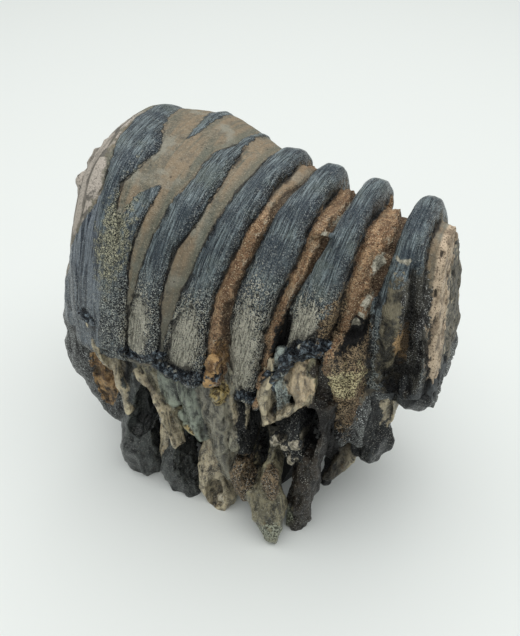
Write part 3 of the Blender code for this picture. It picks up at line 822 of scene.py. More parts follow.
def plate_fields(points, station, along):
    """Border distances of the enamel plates, the share across a plate, and each plate's borders."""
    y, z = points[:, 1], points[:, 2]
    enamel = np.full(len(points), OUTSIDE)
    across = np.zeros(len(points))
    gap = np.full(len(points), FAR_AWAY)
    lap = np.full(len(points), FAR_AWAY)
    borders = []
    for number, plate in enumerate(PLATES):
        left, right = plate_edges(number, along)
        borders.append((left, right))
        inside = np.minimum(station - left, right - station)
        inside = np.where(y < 0.0, np.minimum(inside, z - plate.near_end), inside)
        bordered = True
        if plate.name == "heel plate":
            bordered = z > HEEL_GAP_LOW
            below = HEEL_ENAMEL_TOP - z
            ragged = below + 5.0 * fractal_noise(points, 12.0, 3, 15)
            inside = np.maximum(inside, np.minimum(right - station, np.where(y < 0.0, 20.0 * below, ragged)))
        if plate.name == "branch plate":
            bordered = z < BRANCH_GAP_HIGH
        across = np.where(inside > enamel, (station - left) / (right - left), across)
        enamel = np.maximum(enamel, inside)
        gap = np.where(bordered & (np.abs(station - right) < np.abs(gap)), station - right, gap)
        if plate.name != "branch plate":
            lap = np.where(np.abs(left - station) < np.abs(lap), left - station, lap)
    return enamel, across, gap, lap, borders


def strip_fields(station, along, borders):
    """Distance from the ledge in the worn-down strips, and from the strips' borders."""
    step = np.full(len(station), OUTSIDE)
    strip = np.full(len(station), OUTSIDE)
    flat = 0.0 * station
    for number in PLATES_BEFORE_STRIPS:
        start = borders[number][1]
        end = borders[number + 1][0]
        line = np.stack((flat, flat + number * 9.0, along), axis=-1)
        wander = LEDGE_SHARE + 0.26 * lattice_noise(line, 8.0, 63) + 0.12 * lattice_noise(line, 2.5, 64)
        between = (station > start - 2.0) & (station < end + 2.0)
        step = np.where(between, station - (start + wander * (end - start)), step)
        strip = np.maximum(strip, np.minimum(station - start, end - station))
    return step, strip


def crown_fields(points):
    """Where each part of the crown's surface lies: distances in mm, and shares."""
    station = station_of(points)
    y, z = points[:, 1], points[:, 2]
    along = along_of(y, z)
    enamel, across, gap, lap, borders = plate_fields(points, station, along)
    step, strip = strip_fields(station, along, borders)
    heel_edge = np.interp(z, PALE_HEEL_HEIGHTS, PALE_HEEL_STATIONS)
    line_station, line_z = PALE_HEEL_PLACE
    above = z - line_z - PALE_HEEL_SLOPE * (station - line_station)
    pale_heel = np.minimum(heel_edge - station, PALE_HEEL_DISTANCE * above)
    enamel = np.where((station < HEEL_REACH) & (z < HEEL_NEAR_TOP) & (y < 0.0), HEEL_ENAMEL, enamel)
    enamel = np.where(station < HEEL_REACH, np.minimum(enamel, -pale_heel), enamel)
    fields = {
        "enamel": enamel, "across": across, "gap": gap, "lap": lap, "step": step, "strip": strip,
        "flank": np.interp(z, FLANK_HEIGHTS, FLANK_STATIONS) - station,
        "rim": rim_field(points),
        "crown": z - np.interp(points[:, 0], CROWN_LINE_X, CROWN_LINE_Z),
        "near": smooth_step(4.0, -4.0, y),
        "end": station - END_FACE,
        "heel": np.minimum(pale_heel, 10.0 - y + 5.0 * fractal_noise(points, 12.0, 3, 16)),
        "outer": np.where(z < 52.0, y + 14.0 - 0.3 * z, OUTSIDE),
    }
    fields.update(patch_fields(CROWN_PATCHES, station, points))
    return fields, station, along


def crown_relief(points):
    """Height in mm to add to the crown along its normals."""
    fields, station, along = crown_fields(points)
    flow = np.stack((station, along, points[:, 2] * 0.0), axis=-1)
    enamel = smooth_step(-0.3, 0.5, fields["enamel"])
    strip = smooth_step(0.0, 0.8, fields["strip"]) * smooth_step(70.0, 60.0, points[:, 2])
    near = fields["near"]
    height = 0.25 * lattice_noise(points, 7.0, 1) + 0.12 * fractal_noise(points, 2.6, 2, 2)
    height += enamel * 0.16 * fractal_noise(flow, (1.5, 9.0, 1.0), 2, 9)
    broken = 0.55 + 0.45 * lattice_noise(flow, (3.0, 5.0, 1.0), 12)
    height -= 0.9 * near * broken * band(fields["gap"], 0.4, 0.9) * smooth_step(70.0, 60.0, points[:, 2])
    height -= 0.35 * near * band(fields["lap"], 0.3, 0.7)
    step = smooth_step(-0.25, 0.35, fields["step"])
    height += strip * (2.0 - 2.6 * step + 0.5 * band(fields["step"], -0.2, 0.7))
    # Push in the gaps that are painted in shade
    height -= 2.0 * smooth_step(-0.5, 1.0, fields["shaded_gap"])
    crumbs = strip * smooth_step(0.5, -0.5, fields["pale"])
    height += crumbs * (0.45 * fractal_noise(points, 4.0, 3, 6) + 0.3 * fractal_noise(points, 1.6, 2, 7))
    end = smooth_step(0.0, 1.5, fields["end"])
    height -= end * 1.1 * smooth_step(0.1, 0.7, fractal_noise(points, (1.6, 1.6, 5.0), 2, 8))
    height += end * 0.7 * fractal_noise(points, 6.0, 2, 13)
    worn = smooth_step(-0.3, 0.3, fields["worn"] + fractal_noise(points, 3.0, 2, 14))
    height -= 0.5 * worn
    height += 0.9 * smooth_step(-0.5, 1.0, fields["rim"]) * fractal_noise(points, 2.6, 2, 10)
    below = smooth_step(1.0, -2.0, fields["crown"])
    height += below * 0.5 * fractal_noise(points, (2.4, 2.4, 10.0), 3, 4)
    height -= 0.9 * smooth_step(-0.5, 0.8, fields["orange"])
    return height


def root_traits(points, roots):
    """Tone and grain of the root that passes nearest to each point, for its size."""
    wander = np.stack([fractal_noise(points, 5.0, 2, 81 + axis) for axis in range(3)], axis=-1)
    moved = points + 1.2 * wander
    best = np.full(len(points), np.inf)
    owner = np.zeros(len(points), dtype=int)
    for number, root in enumerate(roots):
        for x, y, z, half_x, half_y in smooth_path(root.knots, 4):
            tall = max(3.0, 0.7 * max(half_x, half_y))
            size = (((moved[:, 0] - x) / half_x) ** 2 + ((moved[:, 1] - y) / half_y) ** 2
                    + ((moved[:, 2] - z) / tall) ** 2)
            closer = size < best
            best[closer] = size[closer]
            owner[closer] = number
    tones = np.array([tone(*root.tone)[:3] for root in roots])
    grains = np.array([root.grain for root in roots])
    return tones[owner], grains[owner]


def root_facets(points):
    """Height of the large and of the small broken facets, and the distance from the large ones' edges."""
    bent = points + 1.5 * lattice_noise(points, 9.0, 21)[:, None]
    large, edge = broken_facets(bent, (7.0, 7.0, 17.0), 31)
    small, _ = broken_facets(bent, (3.2, 3.2, 7.0), 41)
    return large, small, edge


def root_relief(points, roots):
    """Height in mm to add to the roots along their normals."""
    grain = root_traits(points, roots)[1]
    large, small, _ = root_facets(points)
    height = (3.2 - 2.4 * grain) * (large - 0.35) + (0.5 + 0.4 * grain) * (small - 0.35)
    height += (0.10 + 0.20 * grain) * fractal_noise(points, (1.8, 1.8, 8.0), 2, 4)
    height += 0.50 * grain * fractal_noise(points, 2.2, 3, 5)
    return height


def tone(red, green, blue):
    """A colour from 0 to 255 as seen on a screen, in the renderer's own scale."""
    def linear(value):
        share = value / 255.0
        return share / 12.92 if share <= 0.04045 else ((share + 0.055) / 1.055) ** 2.4
    return (linear(red), linear(green), linear(blue), 1.0)


def inside_cad(points):
    """Keep points, in the part's frame and in mm, inside the part's own box."""
    margin = 0.02
    low = np.array(CAD_LOW) / MM
    high = np.array(CAD_HIGH) / MM
    low[:2] += margin
    return np.clip(points, low, high - margin)


def build(name, skins, hollows, late_skins, voxel, relief, triangles):
    """Fuse skins to one surface, hollow it, add what lies in the hollows, its relief, and thin it out."""
    thing = mesh_object(name, *merged(skins))
    fuse(thing, voxel)
    settled(thing)
    set_places(thing.data, hollowed(places(thing.data), hollows))
    if late_skins:
        late = mesh_object("late", *merged(late_skins))
        with bpy.context.temp_override(active_object=thing, selected_editable_objects=[thing, late]):
            bpy.ops.object.join()
    fuse(thing, voxel)
    soften = thing.modifiers.new("soften", "SMOOTH")
    soften.factor = 0.5
    soften.iterations = 1
    settled(thing)
    points = places(thing.data)
    normals = directions(thing.data)
    points += normals * relief(points)[:, None]
    set_places(thing.data, points)
    faces = len(thing.data.polygons)
    if 2 * faces > triangles:
        fine = thing.vertex_groups.new(name="fine")
        fine.add(np.flatnonzero(points[:, 1] < FINE_LIMIT).tolist(), 1.0, "REPLACE")
        thin = thing.modifiers.new("thin out", "DECIMATE")
        thin.vertex_group = "fine"
        thin.vertex_group_factor = 0.02
        thin.ratio = triangles / (2.0 * faces)
        settled(thing)
        thing.vertex_groups.clear()
    return thing


def store(mesh, name, values):
    attribute = mesh.attributes.new(name, "FLOAT", "POINT")
    attribute.data.foreach_set("value", np.ascontiguousarray(values, dtype=np.float32))


def store_vectors(mesh, name, values):
    attribute = mesh.attributes.new(name, "FLOAT_VECTOR", "POINT")
    attribute.data.foreach_set("vector", np.ascontiguousarray(values, dtype=np.float32).ravel())


def store_hollowness(mesh, points):
    """How far each point lies in a hollow, over a wide and a narrow stretch, in mm. The materials paint shade
    into the hollows and highlights onto the crests from these.
    """
    normals = directions(mesh)
    edges = mesh_edges(mesh)
    fine = relaxed(points, edges, 5)
    wide = relaxed(fine, edges, 45)
    store(mesh, "narrow", np.einsum("ij,ij->i", fine - points, normals))
    store(mesh, "wide", np.einsum("ij,ij->i", wide - points, normals))


class Shader:
    """Short calls that add nodes to a material."""

    def __init__(self, name):
        self.material = bpy.data.materials.new(name)
        self.material.use_nodes = True
        self.tree = self.material.node_tree
        self.surface = self.tree.nodes["Principled BSDF"]

    def node(self, kind, inputs, **settings):
        node = self.tree.nodes.new(kind)
        for key, value in settings.items():
            setattr(node, key, value)
        for key, value in inputs.items():
            if isinstance(value, bpy.types.NodeSocket):
                self.tree.links.new(value, node.inputs[key])
            else:
                node.inputs[key].default_value = value
        return node

    def attribute(self, name):
        return self.node("ShaderNodeAttribute", {}, attribute_name=name).outputs["Fac"]

    def vector_attribute(self, name):
        return self.node("ShaderNodeAttribute", {}, attribute_name=name).outputs["Vector"]

    def place(self):
        return self.node("ShaderNodeTexCoord", {}).outputs["Object"]

    def scaled(self, vector, factors):
        return self.node("ShaderNodeVectorMath", {0: vector, 1: factors}, operation="MULTIPLY").outputs[0]

    def noise(self, vector, scale, detail=2.0, roughness=0.5, distortion=0.0):
        return self.node("ShaderNodeTexNoise", {
            "Vector": vector, "Scale": scale, "Detail": detail, "Roughness": roughness,
            "Distortion": distortion}).outputs[0]

    def ramp(self, value, low, high, to_low=0.0, to_high=1.0):
        return self.node("ShaderNodeMapRange", {
            "Value": value, "From Min": low, "From Max": high, "To Min": to_low, "To Max": to_high},
            interpolation_type="SMOOTHSTEP").outputs[0]

    def maths(self, operation, first, second):
        return self.node("ShaderNodeMath", {0: first, 1: second}, operation=operation).outputs[0]

    def times(self, first, second):
        return self.maths("MULTIPLY", first, second)

    def plus(self, first, second):
        return self.maths("ADD", first, second)

    def shaken(self, name, ragged, wobble):
        """A stored border distance, moved to and fro by a noise."""
        return self.plus(self.attribute(name), self.ramp(ragged, 0.0, 1.0, -wobble, wobble))

    def zone(self, name, ragged, wobble, blur=0.35, shift=0.0):
        """1 inside a zone whose border distance is stored on the mesh, with a ragged border."""
        return self.ramp(self.shaken(name, ragged, wobble), shift - blur, shift + blur)

    def line(self, name, ragged, wobble, centre, half_width):
        """1 on a thin line beside a border whose distance is stored on the mesh."""
        away = self.maths("SUBTRACT", self.shaken(name, ragged, wobble), centre)
        return self.ramp(self.maths("ABSOLUTE", away, 0.0), half_width, 0.0)

    def mix(self, share, first, second):
        return self.node("ShaderNodeMix", {0: share, 6: first, 7: second}, data_type="RGBA").outputs[2]

    def two_tone(self, value, low, high, first, second):
        """The first tone where a value is below low, the second where it is above high."""
        return self.mix(self.ramp(value, low, high), tone(*first), tone(*second))

    def over(self, colour, value, low, high, tint, strength=1.0):
        """A colour under a tone that grows as a value goes from low to high."""
        return self.mix(self.ramp(value, low, high, 0.0, strength), colour, tone(*tint))

    def finish(self, colour, roughness, height, distance, specular):
        self.surface.inputs["Specular IOR Level"].default_value = specular
        bump = self.node("ShaderNodeBump", {"Height": height, "Strength": 1.0, "Distance": distance * MM})
        self.tree.links.new(colour, self.surface.inputs["Base Color"])
        self.tree.links.new(roughness, self.surface.inputs["Roughness"])
        self.tree.links.new(bump.outputs[0], self.surface.inputs["Normal"])
        return self.material


Noises = namedtuple("Noises", "ragged broad blotch grain speck dots striae streaks")


def crown_noises(shader):
    where = shader.place()
    flow = shader.vector_attribute("flow")
    return Noises(
        ragged=shader.noise(where, 420.0, 3.0, 0.65),
        broad=shader.noise(where, 90.0, 3.0, 0.6),
        blotch=shader.noise(where, 240.0, 3.0, 0.6),
        grain=shader.noise(where, 800.0, 2.0, 0.6),
        speck=shader.noise(where, 1750.0, 1.0, 0.6),
        dots=shader.noise(where, 2400.0, 0.0, 0.5),
        striae=shader.noise(shader.scaled(flow, (1.9, 0.15, 1.0)), 1.0, 2.0, 0.6, 1.0),
        streaks=shader.noise(shader.scaled(flow, (0.32, 0.05, 1.0)), 1.0, 3.0, 0.55, 0.6))


def cement_colour(shader, noises, low):
    """Soft tan and grey-green streaks along the plates, with small dark pits."""
    cement = shader.two_tone(noises.streaks, 0.38, 0.60, (98, 96, 83), (132, 116, 94))
    cement = shader.over(cement, noises.blotch, 0.48, 0.68, (98, 93, 82), 0.6)
    cement = shader.over(cement, noises.grain, 0.46, 0.62, (154, 141, 120), 0.3)
    cement = shader.over(cement, noises.broad, 0.50, 0.66, (140, 138, 125), 0.8)
    edge = shader.line("lap", noises.ragged, 1.0, 1.6, 3.0)
    cement = shader.mix(shader.times(edge, 0.6), cement, tone(92, 97, 86))
    cement = shader.mix(shader.times(low, 0.6), cement, tone(86, 84, 74))
    cement = shader.over(cement, noises.grain, 0.36, 0.26, (52, 48, 40), 0.8)
    cement = shader.over(cement, noises.speck, 0.56, 0.70, (176, 168, 148), 0.35)
    heel = shader.two_tone(noises.streaks, 0.38, 0.52, (96, 92, 84), (180, 171, 160))
    heel = shader.over(heel, noises.blotch, 0.44, 0.36, (78, 76, 71), 0.8)
    heel = shader.over(heel, noises.speck, 0.42, 0.34, (92, 88, 80), 0.6)
    return shader.mix(shader.zone("heel", noises.ragged, 3.0, 1.0, 0.6), cement, heel)


def broken_end_colour(shader, noises):
    """Tan, pitted cement, darker and greyer on its far side."""
    broken = shader.two_tone(noises.blotch, 0.36, 0.58, (140, 124, 104), (204, 184, 158))
    broken = shader.over(broken, noises.speck, 0.44, 0.35, (84, 68, 52), 0.85)
    grey = shader.two_tone(noises.grain, 0.36, 0.64, (60, 58, 53), (126, 121, 108))
    grey = shader.over(grey, noises.blotch, 0.60, 0.66, (176, 166, 144))
    return shader.mix(shader.zone("outer", noises.ragged, 7.0, 1.2), broken, grey)


def strip_colour(shader, noises, low):
    """Orange-brown on the left, a thin pale ledge, and darker on the right."""
    brown = shader.two_tone(noises.streaks, 0.36, 0.62, (132, 102, 74), (190, 156, 120))
    brown = shader.over(brown, noises.grain, 0.44, 0.64, (104, 76, 54), 0.75)
    brown = shader.over(brown, noises.blotch, 0.56, 0.70, (160, 144, 120), 0.7)
    deep = shader.zone("step", noises.ragged, 1.2)
    brown = shader.mix(shader.times(deep, 0.7), brown, tone(70, 54, 40))
    pits = shader.times(shader.ramp(noises.speck, 0.46, 0.37), shader.ramp(low, 0.0, 1.0, 0.35, 0.9))
    brown = shader.mix(pits, brown, tone(34, 27, 22))
    brown = shader.over(brown, noises.dots, 0.64, 0.72, (204, 184, 152), 0.8)
    ledge = shader.line("step", noises.ragged, 1.6, -0.2, 0.36)
    return shader.mix(shader.times(ledge, shader.ramp(noises.blotch, 0.50, 0.62)), brown, tone(196, 182, 158))


def worn_halo(shader):
    """The zone round the worn patches, where the grit is paler and thicker."""
    return shader.ramp(shader.attribute("worn"), -6.0, 0.5)


def enamel_grit(shader, noises, low, flank):
    """How gritty the enamel is: more towards its right side and low down."""
    across = shader.attribute("across")
    gritty = shader.plus(low, shader.ramp(across, 0.45, 0.95, 0.0, 0.34))
    halo = worn_halo(shader)
    grit = shader.plus(shader.ramp(gritty, 0.0, 1.0, 0.02, 1.0), shader.times(halo, 0.4))
    grit = shader.times(grit, shader.ramp(noises.ragged, 0.3, 0.6, 0.45, 1.0))
    return shader.maths("MINIMUM", shader.times(grit, shader.ramp(flank, 0.0, 1.0, 1.0, 0.3)), 1.0)


def enamel_colour(shader, noises, low, flank, grit):
    """Slate with fine lines along the plate and light and dark grit."""
    across = shader.attribute("across")
    slate = shader.two_tone(noises.striae, 0.38, 0.62, (42, 51, 58), (126, 139, 143))
    slate = shader.over(slate, noises.broad, 0.46, 0.62, (52, 63, 74), 0.7)
    slate = shader.over(slate, noises.broad, 0.46, 0.32, (100, 110, 104), 0.6)
    waves = shader.noise(shader.scaled(shader.vector_attribute("flow"), (0.9, 0.05, 1.0)), 1.0, 2.0, 0.6, 0.8)
    striped = shader.two_tone(waves, 0.42, 0.58, (54, 62, 74), (142, 151, 160))
    striped = shader.over(striped, noises.striae, 0.44, 0.56, (84, 92, 100), 0.5)
    slate = shader.mix(shader.times(flank, 0.9), slate, striped)
    shade = shader.times(shader.ramp(across, 0.66, 0.98), shader.ramp(noises.blotch, 0.62, 0.42))
    slate = shader.mix(shader.times(shade, 0.75), slate, tone(24, 28, 36))
    halo = worn_halo(shader)
    pale = shader.maths("MAXIMUM", halo, shader.times(low, 0.6))
    light = shader.mix(pale, tone(150, 160, 162), tone(214, 212, 194))
    slate = shader.mix(shader.times(shader.ramp(noises.speck, 0.54, 0.62), grit), slate, light)
    slate = shader.mix(shader.times(shader.ramp(noises.speck, 0.49, 0.40), grit), slate, tone(12, 15, 18))
    # Fine white and dark dots of grit, where the white dots also stand for painted glints
    fine = shader.plus(shader.times(grit, 0.9), 0.1)
    slate = shader.mix(shader.times(shader.ramp(noises.dots, 0.63, 0.70), fine), slate, tone(232, 236, 228))
    slate = shader.mix(shader.times(shader.ramp(noises.dots, 0.37, 0.30), fine), slate, tone(10, 12, 14))
    glitter = shader.two_tone(noises.dots, 0.46, 0.54, (34, 36, 32), (204, 200, 170))
    glitter = shader.over(glitter, noises.speck, 0.44, 0.54, (118, 120, 102), 0.6)
    glittering = shader.times(shader.zone("glitter", noises.ragged, 6.0, 2.5, 1.0), 0.9)
    slate = shader.mix(glittering, slate, glitter)
    bare = shader.two_tone(noises.striae, 0.38, 0.58, (140, 138, 124), (222, 218, 200))
    bare = shader.over(bare, noises.blotch, 0.60, 0.70, (118, 120, 110), 0.7)
    bare = shader.over(bare, noises.speck, 0.40, 0.33, (44, 46, 42), 0.9)
    scatter = shader.ramp(noises.speck, 0.35, 0.65, -1.8, 1.8)
    edge = shader.plus(shader.shaken("worn", noises.ragged, 2.6), scatter)
    return shader.mix(shader.ramp(edge, -0.6, 0.9), slate, bare)


def crown_patches_colour(shader, noises, colour):
    """Local tints, laid over each other in order."""
    grain, dots, speck = noises.grain, noises.dots, noises.speck
    rust = shader.two_tone(speck, 0.44, 0.56, (50, 42, 34), (172, 150, 118))
    rust = shader.over(rust, noises.blotch, 0.56, 0.68, (96, 72, 50), 0.7)
    orange = shader.two_tone(noises.blotch, 0.38, 0.60, (110, 82, 52), (206, 168, 118))
    gold = shader.two_tone(speck, 0.42, 0.56, (92, 80, 54), (236, 224, 178))
    dark = shader.two_tone(noises.blotch, 0.38, 0.62, (28, 30, 32), (78, 82, 84))
    inside = shader.two_tone(noises.streaks, 0.4, 0.6, (34, 34, 34), (78, 76, 68))
    inside = shader.over(inside, dots, 0.62, 0.70, (170, 170, 166))
    wall = shader.two_tone(noises.blotch, 0.38, 0.62, (52, 50, 43), (138, 130, 108))
    pale = shader.two_tone(grain, 0.35, 0.65, (150, 146, 130), (212, 206, 188))
    # The shaded gap layer is painted shade, near black
    layers = (
        ("rust", 2.6, 0.8, 0.0, rust), ("orange", 2.4, 0.4, 0.0, orange), ("gold", 4.0, 0.8, 0.0, gold),
        ("shaded_gap", 1.6, 0.5, 0.0, tone(14, 13, 13)), ("dark", 3.0, 0.6, 0.0, dark),
        ("hollow", 2.0, 0.4, 1.2, inside), ("wall", 1.8, 0.4, 0.0, wall), ("pale", 0.8, 0.25, 0.0, pale),
        ("chip", 1.0, 0.3, 0.0, tone(210, 174, 128)))
    for name, wobble, blur, shift, tint in layers:
        colour = shader.mix(shader.zone(name, noises.ragged, wobble, blur, shift), colour, tint)
    return colour


def crown_material():
    shader = Shader("enamel and cement")
    noises = crown_noises(shader)
    grain, ragged = noises.grain, noises.ragged
    height = shader.node("ShaderNodeSeparateXYZ", {0: shader.place()}).outputs[2]
    low = shader.ramp(height, *GRITTY_HEIGHTS)
    near = shader.attribute("near")
    enamel = shader.zone("enamel", ragged, 0.9, 0.3)
    flank = shader.times(shader.zone("flank", ragged, 2.0, 0.8), near)
    grit = shader.times(enamel_grit(shader, noises, low, flank), shader.ramp(near, 0.0, 1.0, 0.55, 1.0))
    strip = shader.times(shader.zone("strip", ragged, 1.0), shader.ramp(height, *STRIP_HEIGHTS))
    rim = shader.zone("rim", ragged, 1.6, 0.3)

    colour = shader.mix(shader.ramp(shader.attribute("end"), -0.6, 0.6), cement_colour(shader, noises, low),
                        broken_end_colour(shader, noises))
    colour = shader.mix(strip, colour, strip_colour(shader, noises, low))
    # Painted shade in the groove along each plate's right border
    shaded_crease = shader.times(shader.line("gap", ragged, 1.4, 0.2, 0.6), near)
    shaded_crease = shader.times(shaded_crease, shader.ramp(noises.blotch, 0.35, 0.6, 0.3, 1.0))
    colour = shader.mix(shaded_crease, colour, tone(22, 20, 20))
    colour = shader.mix(enamel, colour, enamel_colour(shader, noises, low, flank, grit))
    root = shader.two_tone(noises.blotch, 0.36, 0.62, (30, 30, 32), (92, 94, 92))
    root = shader.over(root, noises.dots, 0.62, 0.70, (190, 194, 192))
    colour = shader.mix(shader.zone("crown", ragged, 3.0, 0.8), root, colour)
    colour = crown_patches_colour(shader, noises, colour)
    # Glassy rims: bluish black with light flecks that are partly painted highlights
    colour = shader.mix(rim, colour, shader.two_tone(grain, 0.46, 0.70, (26, 34, 42), (134, 148, 158)))
    # Painted shade: darker where the surface lies in a narrow or a wide hollow, less so in the worn-down
    # strips
    hidden = shader.ramp(strip, 0.0, 1.0, 0.8, 0.3)
    narrow = shader.times(shader.ramp(shader.attribute("narrow"), 0.03, 0.28), hidden)
    colour = shader.mix(narrow, colour, tone(20, 19, 19))
    hidden = shader.ramp(strip, 0.0, 1.0, 0.5, 0.1)
    wide = shader.times(shader.ramp(shader.attribute("wide"), 0.8, 3.2), hidden)
    colour = shader.mix(wide, colour, tone(24, 23, 22))

    roughness = shader.ramp(enamel, 0.0, 1.0, 0.66, 0.30)
    roughness = shader.plus(roughness, shader.ramp(grain, 0.35, 0.65, -0.08, 0.10))
    roughness = shader.maths("SUBTRACT", roughness, shader.times(rim, 0.14))
    bumps = shader.plus(shader.times(noises.striae, shader.times(enamel, 1.6)), shader.times(grain, 0.6))
    rough = shader.plus(shader.maths("MAXIMUM", shader.times(enamel, shader.times(grit, 2.4)), strip), 0.3)
    bumps = shader.plus(bumps, shader.times(shader.plus(noises.speck, shader.times(noises.dots, 0.6)), rough))
    return shader.finish(colour, roughness, bumps, 0.7, 0.4)


def root_material():
    shader = Shader("broken roots")
    where = shader.place()
    tint = shader.vector_attribute("tint")
    grainy = shader.attribute("grain")
    ragged = shader.noise(where, 420.0, 3.0, 0.65)
    broad = shader.noise(where, 110.0, 3.0, 0.6)
    blotch = shader.noise(where, 300.0, 3.0, 0.6)
    grain = shader.noise(where, 900.0, 2.0, 0.6)
    speck = shader.noise(where, 1500.0, 1.0, 0.5)
    fibres = shader.noise(shader.scaled(where, (520.0, 520.0, 90.0)), 1.0, 3.0, 0.6, 0.4)

    dark = shader.scaled(tint, (0.30, 0.30, 0.31))
    light = shader.scaled(tint, (2.1, 2.06, 1.98))
    colour = shader.mix(shader.ramp(fibres, 0.38, 0.62), dark, light)
    paler = shader.scaled(tint, (1.5, 1.5, 1.48))
    colour = shader.mix(shader.ramp(broad, 0.46, 0.62, 0.0, 0.6), colour, paler)
    darker = shader.scaled(tint, (0.35, 0.35, 0.36))
    colour = shader.mix(shader.ramp(blotch, 0.44, 0.32, 0.0, 0.7), colour, darker)
    brighter = shader.scaled(tint, (2.8, 2.8, 2.7))
    colour = shader.mix(shader.times(shader.ramp(speck, 0.56, 0.64), grainy), colour, brighter)
    colour = shader.mix(shader.times(shader.ramp(speck, 0.48, 0.38), grainy), colour, tone(18, 17, 17))
    glint = shader.ramp(shader.noise(where, 2400.0, 0.0, 0.5), 0.66, 0.74)
    glint = shader.times(glint, shader.ramp(grainy, 0.0, 1.0, 0.3, 0.9))
    colour = shader.mix(glint, colour, tone(196, 196, 186))
    rusty = shader.times(shader.ramp(blotch, 0.58, 0.72), shader.ramp(grainy, 0.0, 1.0, 0.35, 0.7))
    colour = shader.mix(rusty, colour, shader.scaled(tint, (1.3, 0.95, 0.6)))
    gold = shader.two_tone(grain, 0.4, 0.6, (70, 58, 34), (178, 158, 106))
    colour = shader.mix(shader.zone("gold", ragged, 1.2), colour, gold)
    pale = shader.two_tone(grain, 0.35, 0.65, (128, 122, 106), (200, 192, 172))
    colour = shader.mix(shader.zone("pale", ragged, 2.4), colour, pale)
    green = shader.two_tone(speck, 0.42, 0.6, (58, 62, 46), (176, 180, 160))
    colour = shader.mix(shader.times(shader.zone("green", ragged, 4.0, 1.0), 0.8), colour, green)
    # Painted highlight: paler tint on convex crests, where the narrow hollowness is below zero
    crest = shader.ramp(shader.attribute("narrow"), -0.04, -0.24)
    crest = shader.times(crest, shader.ramp(blotch, 0.36, 0.56))
    colour = shader.mix(shader.times(crest, 0.8), colour, shader.scaled(tint, (3.0, 3.0, 2.8)))
    # Painted highlight: paler lines along the edges of the large broken facets
    edge = shader.times(shader.ramp(shader.attribute("edge"), 0.10, 0.02), shader.ramp(blotch, 0.46, 0.58))
    colour = shader.mix(shader.times(edge, 0.6), colour, shader.scaled(tint, (2.2, 2.2, 2.1)))
    # Painted shade: near black in narrow and in wide hollows
    colour = shader.over(colour, shader.attribute("narrow"), 0.03, 0.3, (16, 15, 15), 0.8)
    colour = shader.over(colour, shader.attribute("wide"), 0.2, 2.4, (16, 16, 17), 0.85)
    # Painted shade deep inside the root cluster, behind the near roots' faces
    colour = shader.mix(shader.times(shader.attribute("inner"), 0.9), colour, tone(14, 14, 16))

    roughness = shader.ramp(grainy, 0.0, 1.0, 0.26, 0.52)
    roughness = shader.plus(roughness, shader.ramp(grain, 0.35, 0.65, -0.06, 0.14))
    height = shader.plus(shader.times(fibres, 0.8), shader.times(grain, 0.5))
    height = shader.plus(height, shader.times(speck, shader.times(grainy, 1.6)))
    return shader.finish(colour, roughness, height, 0.7, 0.3)


def dress(thing, material):
    """Set a finished mesh, in crown coordinates, in its place on the part."""
    mesh = thing.data
    set_places(mesh, inside_cad(places(mesh) + SHIFT) * MM)
    mesh.materials.clear()
    mesh.materials.append(material)
    mesh.polygons.foreach_set("use_smooth", np.ones(len(mesh.polygons), dtype=bool))
    mesh.update()
    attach(thing, "root")
    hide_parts("molar")


def add_crown():
    skins = [cement_skin()]
    skins += [plate_skin(number) for number in range(len(PLATES))]
    skins += [root_skin(root, CROWN_ROOT_SEED + i) for i, root in enumerate(CROWN_ROOTS.values())]
    late = [rim_skin(knots, RIM_SEED + i) for i, knots in enumerate(RIMS.values())]
    late += [lump_skin(lump, CROWN_LUMP_SEED + i) for i, lump in enumerate(CROWN_LUMPS.values())]
    crown = build("crown", skins, CROWN_HOLLOWS, late, CROWN_VOXEL, crown_relief, TRIANGLES)
    mesh = crown.data
    points = places(mesh)
    fields, station, along = crown_fields(points)
    for name, values in fields.items():
        store(mesh, name, values)
    store_vectors(mesh, "flow", np.stack((station, along, 0.0 * station), axis=-1))
    store_hollowness(mesh, points)
    dress(crown, crown_material())


def add_roots(name, groups, hollows, lumps, voxel, triangles, material):
    roots = [root for group in groups for root in group.values()]
    skins = [root_skin(root, ROOT_SEED + i) for i, root in enumerate(roots)]
    late = [lump_skin(lump, ROOT_LUMP_SEED + i) for i, lump in enumerate(lumps.values())]
    thing = build(name, skins, hollows, late, voxel, lambda points: root_relief(points, roots), triangles)
    mesh = thing.data
    points = places(mesh)
    tints, grains = root_traits(points, roots)
    store_vectors(mesh, "tint", tints)
    store(mesh, "grain", grains)
    store(mesh, "edge", root_facets(points)[2])
    for kind, values in patch_fields(ROOT_PATCHES, points[:, 0], points).items():
        store(mesh, kind, values)
    y, z = points[:, 1], points[:, 2]
    # The inner share: how deep a point lies behind the near roots' faces, used to paint shade there
    inner = smooth_step(-40.0, -31.0, y + 3.0 * fractal_noise(points, 9.0, 2, 51)) * smooth_step(4.0, -8.0, z)
    store(mesh, "inner", inner * smooth_step(14.0, 0.0, y) * smooth_step(112.0, 98.0, points[:, 0]))
    store_hollowness(mesh, points)
    dress(thing, material)


def add_tooth():
    add_crown()
    material = root_material()
    add_roots("near_roots", (NEAR_ROOTS,), ROOT_HOLLOWS, ROOT_LUMPS, NEAR_VOXEL, TRIANGLES, material)
    add_roots("far_roots", (MIDDLE_ROOTS, FAR_ROOTS), {}, {}, FAR_VOXEL, FAR_TRIANGLES, material)


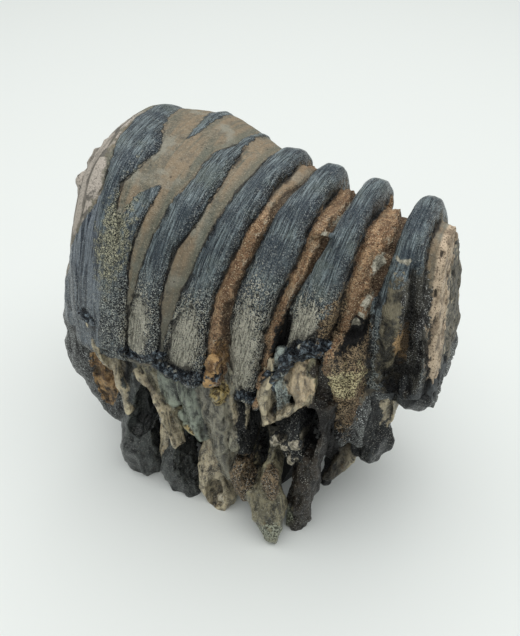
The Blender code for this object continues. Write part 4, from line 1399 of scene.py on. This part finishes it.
def add_floor():
    size = FLOOR_HALF_SIZE
    corners = np.array(((-size, -size, 0.0), (size, -size, 0.0), (size, size, 0.0), (-size, size, 0.0)))
    floor = mesh_object("floor", corners, [(0, 1, 2, 3)])
    material = bpy.data.materials.new("pale floor")
    material.use_nodes = True
    surface = material.node_tree.nodes["Principled BSDF"]
    surface.inputs["Base Color"].default_value = FLOOR_COLOUR
    surface.inputs["Roughness"].default_value = FLOOR_ROUGHNESS
    floor.data.materials.append(material)


def add_lights():
    world = bpy.data.worlds.new("studio")
    world.use_nodes = True
    background = world.node_tree.nodes["Background"]
    background.inputs["Color"].default_value = GLOW_COLOUR
    background.inputs["Strength"].default_value = GLOW_STRENGTH
    bpy.context.scene.world = world
    light = bpy.data.lights.new("overhead", "AREA")
    light.size = OVERHEAD_SIZE
    light.energy = OVERHEAD_POWER
    overhead = bpy.data.objects.new("overhead", light)
    overhead.location = OVERHEAD_PLACE
    aim = Vector(TOOTH_MIDDLE) - Vector(OVERHEAD_PLACE)
    overhead.rotation_euler = aim.to_track_quat("-Z", "Y").to_euler()
    bpy.context.scene.collection.objects.link(overhead)


def add_camera():
    """The photo's viewpoint, with the photo's field of view."""
    azimuth = math.radians(CAMERA_AZIMUTH)
    elevation = math.radians(CAMERA_ELEVATION)
    back = Vector((math.sin(azimuth) * math.cos(elevation), -math.cos(azimuth) * math.cos(elevation),
                   math.sin(elevation)))
    right = Vector((math.cos(azimuth), math.sin(azimuth), 0.0))
    data = bpy.data.cameras.new("camera")
    data.sensor_fit = "VERTICAL"
    data.sensor_height = SENSOR_HEIGHT
    data.lens = FOCAL_LENGTH * SENSOR_HEIGHT
    camera = bpy.data.objects.new("camera", data)
    bpy.context.scene.collection.objects.link(camera)
    turn = Matrix((right, back.cross(right), back)).transposed().to_4x4()
    turn.translation = Vector(CAMERA_PLACE)
    camera.matrix_world = turn
    bpy.context.scene.camera = camera


bpy.context.scene.view_settings.view_transform = "Standard"
add_tooth()
add_floor()
add_lights()
add_camera()
